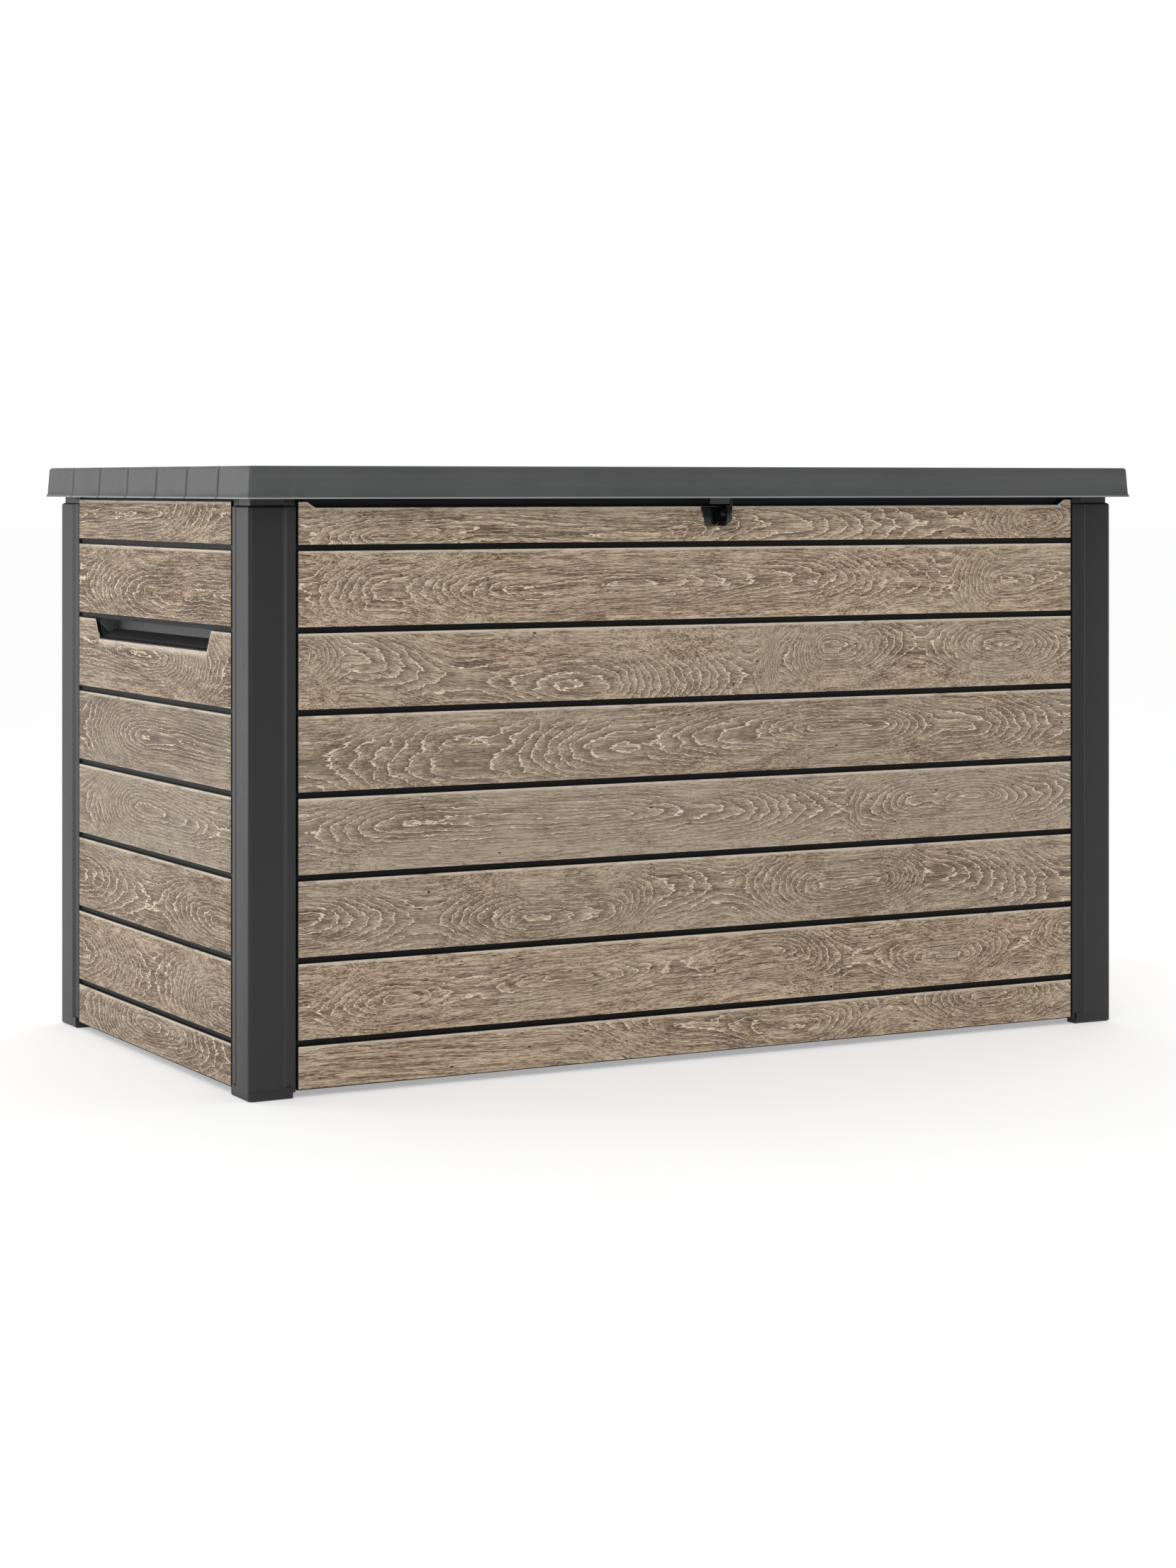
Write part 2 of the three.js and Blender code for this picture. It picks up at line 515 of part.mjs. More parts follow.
// ---------------------------------------------------------------- hinges
// Each barrel has three knuckles. The wall leaf owns the outer two.
const pinHole = (x0, x1, room) => bar(HINGE.pin + room, x0, x1, HINGE_Y, HINGE_Z);
const leafHalf = 1.5 * HINGE.knuckle;
const knuckle = (i) => [-leafHalf + i * HINGE.knuckle + GAP, -leafHalf + (i + 1) * HINGE.knuckle - GAP];

function wallLeaf() {
  const underside = HINGE_Z - HINGE.barrel;
  const knuckles = [0, 2].map((i) => {
    const [x0, x1] = knuckle(i);
    const web = block([x0, x1], [WALL_LEAF_Y, HINGE_Y], [underside, underside + HINGE.leaf]);
    return join(bar(HINGE.barrel, x0, x1, HINGE_Y, HINGE_Z), web);
  });
  const plate = block([-leafHalf + GAP, leafHalf - GAP], [WALL_LEAF_Y, WALL_LEAF_Y + HINGE.leaf],
    [HINGE_Z - HINGE.wallLeafHeight, underside + HINGE.leaf]);
  const holes = hingeScrews.map((dx) => screwHole(dx, WALL_LEAF_Y + HINGE.leaf, WALL_LEAF_SCREW_Z, 180));
  return cut(join(plate, knuckles), pinHole(-leafHalf - 1, leafHalf + 1, GAP), holes);
}

function lidLeaf() {
  const [x0, x1] = knuckle(1);
  const web = block([x0, x1], [HINGE_Y, LID_LEAF_Y], [HINGE_Z, HINGE_Z + HINGE.barrel]);
  const plate = block([-leafHalf + GAP, leafHalf - GAP], [LID_LEAF_Y - HINGE.leaf, LID_LEAF_Y],
    [HINGE_Z + HINGE.barrel + GAP, HINGE_Z + HINGE.lidLeafHeight]);
  const link = block([x0, x1], [LID_LEAF_Y - HINGE.leaf, LID_LEAF_Y], [HINGE_Z, HINGE_Z + HINGE.barrel + 1]);
  const holes = hingeScrews.map((dx) => screwHole(dx, LID_LEAF_Y, LID_LEAF_SCREW_Z, 180));
  const barrel = bar(HINGE.barrel, x0, x1, HINGE_Y, HINGE_Z);
  return cut(join(plate, barrel, web, link), pinHole(-leafHalf - 1, leafHalf + 1, HINGE.pinRoom), holes);
}

const hingeNames = ['left', 'middle', 'right'];
hingeCentres.forEach((x, i) => {
  const side = hingeNames[i];
  add(`hinge_wall_leaf_${side}`, wallLeaf(), 'zinc', { position: [x, 0, 0] });
  add(`hinge_lid_leaf_${side}`, lidLeaf(), 'zinc', { position: [x, 0, 0] });
  const pin = bar(HINGE.pin, -leafHalf, leafHalf, HINGE_Y, HINGE_Z);
  add(`hinge_pin_${side}`, pin, 'steel', { position: [x, 0, 0] });
  hingeScrews.forEach((dx, k) => {
    add(`hinge_wall_screw_${side}_${k + 1}`, screw(), 'zinc',
      { position: [x + dx, WALL_LEAF_Y + HINGE.leaf, WALL_LEAF_SCREW_Z], turn: 180 });
    add(`hinge_lid_screw_${side}_${k + 1}`, screw(), 'zinc',
      { position: [x + dx, LID_LEAF_Y, LID_LEAF_SCREW_Z], turn: 180 });
  });
});

// ---------------------------------------------------------------- latch: a plate with a padlock eye
// The wall's eye stands at the plate's +X edge, and the lid's tongue hangs just past it with the same hole.
const LATCH_FACE = -WOOD_Y - GAP;
const LATCH_TIP = -WOOD_Y - LATCH.eyeReach;
const EYE_RIGHT = LATCH.centre + LATCH.topWidth / 2 - LATCH.cheekInset;

function latchKeeper() {
  const [top, bottom] = [SKIRT_BOTTOM - LATCH.top, SKIRT_BOTTOM - LATCH.bottom];
  const [wide, narrow] = [LATCH.topWidth / 2, LATCH.bottomWidth / 2];
  const corner = bottom + LATCH.round;
  const across = (x) => LATCH.centre + x;
  const outline = new THREE.Shape();
  outline.moveTo(across(-wide), top);
  outline.lineTo(across(-narrow), corner);
  outline.quadraticCurveTo(across(-narrow + 1), bottom, across(-narrow + LATCH.round), bottom);
  outline.lineTo(across(narrow - LATCH.round), bottom);
  outline.quadraticCurveTo(across(narrow - 1), bottom, across(narrow), corner);
  outline.lineTo(across(wide), top);
  const plate = prism(outline, 'y', LATCH_FACE - LATCH.plate, LATCH_FACE);
  const screws = latchScrews.map((x) => screwHole(x, LATCH_FACE - LATCH.plate, latchScrewZ));
  return cut(join(plate, latchCheek(EYE_RIGHT - LATCH.cheek, EYE_RIGHT, LATCH_FACE)), screws);
}

// The side view of either cheek: its top climbs outwards, and its lower outer corner is a big round.
function latchCheek(x0, x1, back) {
  const top = SKIRT_BOTTOM - LATCH.eyeTopDrop;
  const foot = SKIRT_BOTTOM - LATCH.eyeFoot;
  const outline = new THREE.Shape();
  outline.moveTo(back, top - LATCH.eyeSlope);
  outline.lineTo(LATCH_TIP, top);
  outline.lineTo(LATCH_TIP, foot + LATCH.eyeRound);
  outline.quadraticCurveTo(LATCH_TIP, foot, LATCH_TIP + LATCH.eyeRound, foot);
  outline.lineTo(back, foot);
  const hole = bar(LATCH.hole, x0 - 1, x1 + 1, LATCH_TIP + LATCH.holeBack, SKIRT_BOTTOM - LATCH.holeDrop);
  return cut(prism(outline, 'x', x0, x1), hole);
}

// The tongue: a cheek past the eye, on a strip that climbs inside the skirt to a foot under the liner's edge.
function latchTongue() {
  const [x0, x1] = [EYE_RIGHT + GAP, EYE_RIGHT + GAP + LATCH.cheek];
  const back = LATCH_FACE - LATCH.plate - LATCH.tongueRoom;
  const front = -CAVITY_Y + GAP;
  const cheekTop = SKIRT_BOTTOM - LATCH.eyeTopDrop;
  const strip = block([x0, x1], [front, back],
    [cheekTop - LATCH.eyeSlope - 1, LINER_TOP - LINER.plate - LINER.edgeDepth - GAP]);
  const foot = block([x1 - LATCH.footWidth, x1], [front, front + LEAF_ROOM - 2 * GAP],
    [SKIRT_BOTTOM + LATCH.footDrop, LINER_TOP]);
  return join(latchCheek(x0, x1, back), strip, foot);
}
add('latch_keeper', latchKeeper(), 'gloss');
add('latch_tongue', latchTongue(), 'gloss');
latchScrews.forEach((x, i) => {
  add(`latch_screw_${i + 1}`, screw(), 'zinc', { position: [x, LATCH_FACE - LATCH.plate, latchScrewZ] });
});

// ---------------------------------------------------------------- gas struts

// Pieces of a strut are turned about its own line: x here is the distance along it from the lower stud.
const eye = (at) => {
  const ring = bar(STRUT.eye, -STRUT.eyeWidth / 2, STRUT.eyeWidth / 2, 0, 0);
  const hole = bar(STRUT.stud + STRUT.studRoom, -STRUT.eyeWidth, STRUT.eyeWidth, 0, 0);
  return { ring: turnRing(ring, at), hole: turnRing(hole, at) };
};

// A ring made about X is laid with its axis along Y and moved along the strut's line.
function turnRing(piece, at) {
  const { vertProperties, triVerts } = piece.getMesh();
  const geometry = new THREE.BufferGeometry();
  geometry.setAttribute('position', new THREE.BufferAttribute(new Float32Array(vertProperties), 3));
  geometry.setIndex(new THREE.BufferAttribute(new Uint32Array(triVerts), 1));
  return solid(geometry.rotateZ(Math.PI / 2).translate(at, 0, 0));
}

const tubeEnd = STRUT.tubeStart + STRUT.cap + STRUT.stroke + STRUT.pistonLength + STRUT.guide;
const pistonStart = STRUT.tubeStart + STRUT.cap + 1;

function strutCylinder() {
  const { tube, bore, tubeStart, tubeRound, cap } = STRUT;
  return turned([
    [tubeStart, 0], [tubeStart, tube - tubeRound], [tubeStart + tubeRound, tube], [tubeEnd - tubeRound, tube],
    [tubeEnd, (tube + bore) / 2], [tubeEnd, bore], [tubeStart + cap, bore], [tubeStart + cap, 0],
  ], 0, 0);
}
function lowerSocket() {
  const { ring, hole } = eye(0);
  return cut(join(ring, bar(STRUT.neck, 0, STRUT.tubeStart - GAP, 0, 0)), hole);
}
function rodGuide() {
  const [from, to] = [tubeEnd - STRUT.guide, tubeEnd - GAP];
  return cut(bar(STRUT.bore - GAP, from, to, 0, 0), bar(STRUT.rod + STRUT.rodRoom, from - 1, to + 1, 0, 0));
}
function piston() {
  const [from, to] = [pistonStart, pistonStart + STRUT.pistonLength];
  return bar(STRUT.bore - STRUT.pistonRoom, from, to - GAP, 0, 0);
}
function strutRod() {
  return bar(STRUT.rod, pistonStart + STRUT.pistonLength, closedLength - STRUT.upperNeck, 0, 0);
}
function upperSocket() {
  const { ring, hole } = eye(closedLength);
  const neck = bar(STRUT.upperNeckRadius, closedLength - STRUT.upperNeck + GAP, closedLength, 0, 0);
  return cut(join(ring, neck), hole);
}

[['left', -1], ['right', 1]].forEach(([side, sign]) => {
  // The strut's own line runs from the lower stud to the upper one, in the plane x = strutX.
  const strut = new THREE.Group();
  strut.rotation.order = 'ZYX';
  strut.rotation.set(0, -strutTilt, Math.PI / 2);
  strut.position.set(sign * strutX, lowerEnd[0], lowerEnd[1]);
  box.add(strut);
  add(`strut_${side}_cylinder`, strutCylinder(), 'tube', {}, strut);
  add(`strut_${side}_lower_socket`, lowerSocket(), 'gloss', {}, strut);
  add(`strut_${side}_rod_guide`, rodGuide(), 'gloss', {}, strut);
  add(`strut_${side}_piston`, piston(), 'steel', {}, strut);
  add(`strut_${side}_rod`, strutRod(), 'steel', {}, strut);
  add(`strut_${side}_upper_socket`, upperSocket(), 'gloss', {}, strut);

  const wallFace = INNER_X - GAP;
  const wallBracket = [wallFace - STRUT.bracket, wallFace];
  const studEnd = strutX - STRUT.eyeWidth / 2 - STRUT.studEnd;
  const [ly, lz] = lowerEnd;
  const [uy, uz] = upperEnd;
  const [halfWall, halfWeb, halfFlange] = [STRUT.bracketWidth / 2, STRUT.webWidth / 2, STRUT.flangeWidth / 2];
  const across = ([low, high]) => (sign > 0 ? [low, high] : [-high, -low]);
  add(`strut_${side}_wall_bracket`, block(across(wallBracket), [ly - halfWall, ly + halfWall],
    [lz - STRUT.bracketHeight / 2, lz + STRUT.bracketHeight / 2]), 'zinc');
  add(`strut_${side}_wall_stud`,
    bar(STRUT.stud, ...across([studEnd, wallFace - STRUT.bracket - GAP]), ly, lz), 'steel');
  const webFace = strutX + STRUT.tube + STRUT.webRoom;
  const webBack = webFace + STRUT.bracket;
  const flangeTop = LINER_BOTTOM - GAP;
  add(`strut_${side}_lid_bracket`, join(
    block(across([webFace, webBack]), [uy - halfWeb, uy + halfWeb], [uz - STRUT.webDrop, flangeTop]),
    block(across([webFace - STRUT.flangeReach, webBack]), [uy - halfFlange, uy + halfFlange],
      [flangeTop - STRUT.bracket, flangeTop]),
  ), 'zinc');
  add(`strut_${side}_lid_stud`, bar(STRUT.stud, ...across([studEnd, webFace - GAP]), uy, uz), 'steel');
});

export default box;
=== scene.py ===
# %% [markdown]
# # A deck storage box, from its frame to its finish
#
# A deck box is a resin chest that lives outdoors: four walls printed to look like weathered oak boards, dark
# posts at the corners, and a lid moulded to look like planks. Its sizes and moving parts are already settled
# in a CAD frame. This lesson only dresses that frame, so it starts by loading it and never moves it.

# %% Load the CAD frame
import json
import math
import random

import bmesh
import bpy
from mathutils import Matrix, Vector

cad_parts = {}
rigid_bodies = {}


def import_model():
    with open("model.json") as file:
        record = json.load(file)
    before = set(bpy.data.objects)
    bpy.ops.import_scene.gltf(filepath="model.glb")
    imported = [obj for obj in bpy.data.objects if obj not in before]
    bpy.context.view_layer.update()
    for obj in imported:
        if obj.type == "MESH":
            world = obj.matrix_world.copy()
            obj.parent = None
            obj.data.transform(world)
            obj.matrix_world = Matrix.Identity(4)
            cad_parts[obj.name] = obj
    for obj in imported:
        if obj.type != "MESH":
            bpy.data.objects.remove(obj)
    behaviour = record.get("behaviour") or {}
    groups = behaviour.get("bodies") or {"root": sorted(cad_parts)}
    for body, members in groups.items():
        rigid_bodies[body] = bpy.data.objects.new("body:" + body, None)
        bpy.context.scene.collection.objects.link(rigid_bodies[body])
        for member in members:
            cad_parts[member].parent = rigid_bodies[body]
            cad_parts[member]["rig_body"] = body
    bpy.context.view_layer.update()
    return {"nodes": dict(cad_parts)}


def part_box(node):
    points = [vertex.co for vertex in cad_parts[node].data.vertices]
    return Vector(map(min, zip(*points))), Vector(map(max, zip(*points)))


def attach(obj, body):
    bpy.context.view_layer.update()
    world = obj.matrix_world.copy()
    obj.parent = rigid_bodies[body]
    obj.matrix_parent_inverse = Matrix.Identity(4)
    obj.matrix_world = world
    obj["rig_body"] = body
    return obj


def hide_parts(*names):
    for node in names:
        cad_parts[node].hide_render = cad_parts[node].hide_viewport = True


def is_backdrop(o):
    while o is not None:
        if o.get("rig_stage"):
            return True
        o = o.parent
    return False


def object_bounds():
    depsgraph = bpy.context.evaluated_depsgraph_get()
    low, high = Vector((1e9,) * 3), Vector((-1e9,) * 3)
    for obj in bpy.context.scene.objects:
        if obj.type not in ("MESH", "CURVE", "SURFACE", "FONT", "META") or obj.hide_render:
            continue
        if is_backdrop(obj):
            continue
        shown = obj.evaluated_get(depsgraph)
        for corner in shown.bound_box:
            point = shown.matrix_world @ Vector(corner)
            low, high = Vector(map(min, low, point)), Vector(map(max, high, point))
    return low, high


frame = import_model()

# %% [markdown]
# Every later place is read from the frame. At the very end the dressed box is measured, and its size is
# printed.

MM = 0.001

# %% [markdown]
# ## The studio
#
# The box is seen from about the height of its lid, a little from the left, with the camera held level so that
# its upright edges stay parallel. A level camera would put the box in the lower half of the view. The lens is
# shifted down instead, which moves the view without tilting anything.

# %% Set up the camera
CAMERA_PLACE = (-2.4253, -4.5110, 0.8356)
CAMERA_HEADING = math.radians(28.29)
CAMERA_LENS = 75.66
CAMERA_SHIFT = -0.1915
SENSOR_WIDTH = 36

scene = bpy.context.scene
camera_data = bpy.data.cameras.new("camera")
camera_data.sensor_width = SENSOR_WIDTH
camera_data.lens = CAMERA_LENS
camera_data.shift_y = CAMERA_SHIFT
camera = bpy.data.objects.new("camera", camera_data)
camera.location = CAMERA_PLACE
camera.rotation_euler = (math.pi / 2, 0, -CAMERA_HEADING)
scene.collection.objects.link(camera)
scene.camera = camera

# %% [markdown]
# Dark satin plastic shows the room more than it shows its own colour. So the room is planned by what each
# face mirrors. Behind the box hangs a wide white cloth, which the left end mirrors, so it glows. Behind the
# camera the studio is dim, which keeps the front's plastic dark. Overhead it is bright again, as under a
# skylight. Three soft panels add to that. One high on the left gives the light a direction, one behind the
# left end brightens that end, and one far to the right draws a thin bright line down the posts' bevels.

# %% Hang the cloth, the skylight and the soft panels
BOX_MIDDLE = (0, 0, 0.45)
LEFT_POST = (-0.7, -0.4, 0.45)
LEFT_POST_UPPER = (-0.7, -0.4, 0.5)
CLOTH_LIGHT = 1.15
CLOTH_EDGE = 0.45
CLOTH_FULL = 0.90
DIM_LIGHT = 0.16
SKYLIGHT = 0.70
SKY_EDGE = 0.1


def soft_panel(name, place, target, size, power):
    """A square light panel that faces a point. It lights the box but isn't seen itself."""
    panel = bpy.data.lights.new(name, "AREA")
    panel.shape = "RECTANGLE"
    panel.size, panel.size_y = size
    panel.energy = power
    holder = bpy.data.objects.new(name, panel)
    holder.location = place
    holder.rotation_euler = (Vector(target) - Vector(place)).to_track_quat("-Z", "Y").to_euler()
    holder.visible_camera = False
    scene.collection.objects.link(holder)


def light_room(forward):
    """A room that is white ahead of the camera, dim behind it and bright overhead."""
    world = bpy.data.worlds.new("studio")
    world.use_nodes = True
    nodes, links = world.node_tree.nodes, world.node_tree.links
    direction = nodes.new("ShaderNodeTexCoord")
    ahead = nodes.new("ShaderNodeVectorMath")
    ahead.operation = "DOT_PRODUCT"
    ahead.inputs[1].default_value = forward
    up = nodes.new("ShaderNodeSeparateXYZ")
    cloth = nodes.new("ShaderNodeMapRange")
    cloth.interpolation_type = "SMOOTHSTEP"
    sky = nodes.new("ShaderNodeMapRange")
    total = nodes.new("ShaderNodeMath")
    cloth_limits = (CLOTH_EDGE, CLOTH_FULL, DIM_LIGHT, CLOTH_LIGHT)
    sky_limits = (SKY_EDGE, 1.0, 0.0, SKYLIGHT)
    for node, limits in ((cloth, cloth_limits), (sky, sky_limits)):
        for name, value in zip(("From Min", "From Max", "To Min", "To Max"), limits):
            node.inputs[name].default_value = value
    links.new(direction.outputs["Generated"], ahead.inputs[0])
    links.new(direction.outputs["Generated"], up.inputs[0])
    links.new(ahead.outputs["Value"], cloth.inputs["Value"])
    links.new(up.outputs["Z"], sky.inputs["Value"])
    links.new(cloth.outputs["Result"], total.inputs[0])
    links.new(sky.outputs["Result"], total.inputs[1])
    links.new(total.outputs["Value"], nodes["Background"].inputs["Strength"])
    nodes["Background"].inputs["Color"].default_value = (1, 1, 1, 1)
    return world


scene.world = light_room((math.sin(CAMERA_HEADING), math.cos(CAMERA_HEADING), 0))
soft_panel("panel_high_left", (-3.0, -4.6, 3.2), BOX_MIDDLE, (2.4, 2.4), 58)
soft_panel("panel_behind_left", (-3.3, 2.1, 1.1), LEFT_POST, (2.2, 2.0), 38)
soft_panel("panel_far_right", (4.6, -1.2, 0.9), LEFT_POST_UPPER, (1.0, 2.4), 30)
scene.view_settings.view_transform = "Standard"
print("a white cloth at", CLOTH_LIGHT, "and a dim studio at", DIM_LIGHT)

# %% [markdown]
# ## Writing a finish as sums
#
# A material in Blender is a graph of nodes, which is hard to read as a list of links. A small class that
# stands for one socket makes it readable: `1 - mask` or `rings * 0.5` adds the Math node that does that sum.
# Numbers that never change stay plain Python numbers. Any node that isn't a sum comes from one method, which
# takes the node's type, then its settings, then what goes into its sockets.

# %% A class for one socket, and one for a finish
class Wire:
    """One output socket of a finish. Sums of wires and numbers add Math nodes."""

    def __init__(self, finish, socket):
        self.finish = finish
        self.socket = socket

    def sum(self, operation, first, second=0.0, third=0.0):
        return self.finish.node("Math", {"operation": operation}, {0: first, 1: second, 2: third})

    def __add__(self, other):
        return self.sum("ADD", self, other)

    def __radd__(self, other):
        return self.sum("ADD", other, self)

    def __sub__(self, other):
        return self.sum("SUBTRACT", self, other)

    def __rsub__(self, other):
        return self.sum("SUBTRACT", other, self)

    def __mul__(self, other):
        return self.sum("MULTIPLY", self, other)

    def __rmul__(self, other):
        return self.sum("MULTIPLY", other, self)

    def __truediv__(self, other):
        return self.sum("DIVIDE", self, other)

    def __rtruediv__(self, other):
        return self.sum("DIVIDE", other, self)

    def __pow__(self, other):
        return self.sum("POWER", self, other)

    def __rpow__(self, other):
        return self.sum("POWER", other, self)

    def root(self):
        return self.sum("SQRT", self)

    def fraction(self):
        return self.sum("FRACT", self)

    def size(self):
        return self.sum("ABSOLUTE", self)

    def larger(self, other):
        return self.sum("MAXIMUM", self, other)

    def rise(self, start, end):
        """0 below start, 1 above end, and a smooth climb between them. With end below start it falls."""
        settings = {"interpolation_type": "SMOOTHSTEP"}
        if end > start:
            return self.finish.node("MapRange", settings, {"Value": self, "From Min": start, "From Max": end})
        return 1 - self.finish.node("MapRange", settings, {"Value": self, "From Min": end, "From Max": start})


class Finish:
    """A material being made. Its fixed numbers go straight onto the shader's own sockets."""

    def __init__(self, name, **fixed):
        self.material = bpy.data.materials.new(name)
        self.material.use_nodes = True
        self.tree = self.material.node_tree
        self.shader = self.tree.nodes["Principled BSDF"]
        for socket, value in fixed.items():
            self.shader.inputs[socket.replace("_", " ")].default_value = value

    def node(self, kind, settings, sockets, output=0):
        """Adds any node: its type, its settings, then the values or wires of its sockets."""
        made = self.tree.nodes.new("ShaderNode" + kind)
        for name, value in settings.items():
            if name == "stops":
                ramp = made.color_ramp.elements
                while len(ramp) < len(value):
                    ramp.new(1)
                for stop, (place, colour) in zip(ramp, value):
                    stop.position = place
                    stop.color = colour
            else:
                setattr(made, name, value)
        for name, value in sockets.items():
            if isinstance(value, Wire):
                self.tree.links.new(value.socket, made.inputs[name])
            else:
                made.inputs[name].default_value = value
        return Wire(self, made.outputs[output])

    def stretched(self, place, scale):
        """A place with each axis scaled by its own number, so that noise can be long one way."""
        return self.node("VectorMath", {"operation": "MULTIPLY"}, {0: place, 1: scale})

    def noise(self, place, scale, detail=2.0, roughness=0.5):
        """Soft noise from 0 to 1, centred on 0.5. scale is how many bumps go in a metre along each axis."""
        sockets = {"Vector": self.stretched(place, scale), "Scale": 1.0, "Detail": detail,
                   "Roughness": roughness}
        return self.node("TexNoise", {}, sockets)

    def blend(self, share, first, second, kind="MIX"):
        """Two colours mixed by a share from 0 to 1."""
        settings = {"data_type": "RGBA", "blend_type": kind, "clamp_factor": True}
        return self.node("Mix", settings, {0: share, 6: first, 7: second}, output=2)

    def bump(self, height, depth):
        """A Bump node's normal, for a height from 0 to 1 that stands for depth in metres."""
        return self.node("Bump", {}, {"Height": height, "Distance": depth, "Strength": 1.0})

    def feed(self, **wires):
        """Joins wires to the shader's sockets and returns the finished material."""
        for name, wire in wires.items():
            self.tree.links.new(wire.socket, self.shader.inputs[name.replace("_", " ")])
        print("finish", self.material.name, "has", len(self.tree.nodes), "nodes")
        return self.material


def paint(red, green, blue):
    """A colour given as on a paint card, 0 to 255, as the linear numbers that a shader takes."""
    linear = [(part / 255 / 12.92) if part < 11 else ((part / 255 + 0.055) / 1.055) ** 2.4
              for part in (red, green, blue)]
    return (*linear, 1.0)


# %% [markdown]
# The box stands on a light table: a pale sheet with a little light of its own, so that it melts into the
# white cloth and only a soft shadow stays under the box. A faint mottle keeps it from looking like paper.

# %% Lay the light table
TABLE_RADIUS = 60.0
TABLE_GLOW = 0.37
TABLE_SIDES = 96
table_finish = Finish("light_table", Roughness=0.9, Emission_Color=(1, 1, 1, 1),
                      Emission_Strength=TABLE_GLOW)
table_place = table_finish.node("TexCoord", {}, {}, output=3)
table_mottle = table_finish.noise(table_place, (3, 3, 3), detail=4)
table_mesh = bpy.data.meshes.new("light_table")
table_bmesh = bmesh.new()
bmesh.ops.create_circle(table_bmesh, cap_ends=True, radius=TABLE_RADIUS, segments=TABLE_SIDES)
table_bmesh.to_mesh(table_mesh)
table_bmesh.free()
table_mesh.materials.append(table_finish.feed(
    Base_Color=table_finish.blend(table_mottle, (0.80, 0.80, 0.80, 1), (0.84, 0.84, 0.835, 1))))
table = bpy.data.objects.new("light_table", table_mesh)
scene.collection.objects.link(table)
table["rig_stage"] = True

# %% [markdown]
# ## Weathered oak
#
# The walls are resin with a printed and embossed oak pattern. Real oak gets its figure from the growth rings
# of the tree: a board is a thin slice of a log, so what shows on its face is where that slice cuts the rings.
# Painting that pattern by hand would look drawn. It is easier to let it happen: each point of a board knows
# where it lay in the log, and the shader works out how far that is from the heart of the tree. The rings are
# steps in that distance. Where the slice runs near the heart they close into long ovals and arches, and
# towards the board's edges they run out into straight grain.
#
# Each ring has a thin raised pale line at one side, and a darker band beside it that fades away. Over that go
# fine streaks along the grain, short dark pores, small dark specks, and pale edges beside the seams, partly
# wear and partly a painted highlight where the rounded edges meet the light, stronger along the top edges.

# %% The oak finish
OAK_PALE = paint(216, 195, 168)
OAK_MID = paint(160, 137, 113)
OAK_DEEP = paint(88, 70, 56)
OAK_HEART = paint(92, 76, 66)
OAK_CREAM = paint(236, 218, 190)
OAK_GREY = paint(148, 142, 130)
OAK_WEAR_AND_HIGHLIGHT = paint(222, 210, 190)
OAK_PORE = paint(52, 42, 36)
RING_PITCH = 4.6 * MM
HEART_DRIFT = 9 * MM
HEART_SWAY = 9 * MM
RING_TAPER = 0.02
RING_WOBBLE = 6.6 * MM
RING_TREMBLE = 2.4 * MM
FIGURE_NEAR = 14 * MM
FIGURE_FAR = 60 * MM
OAK_EMBOSS = 0.7 * MM


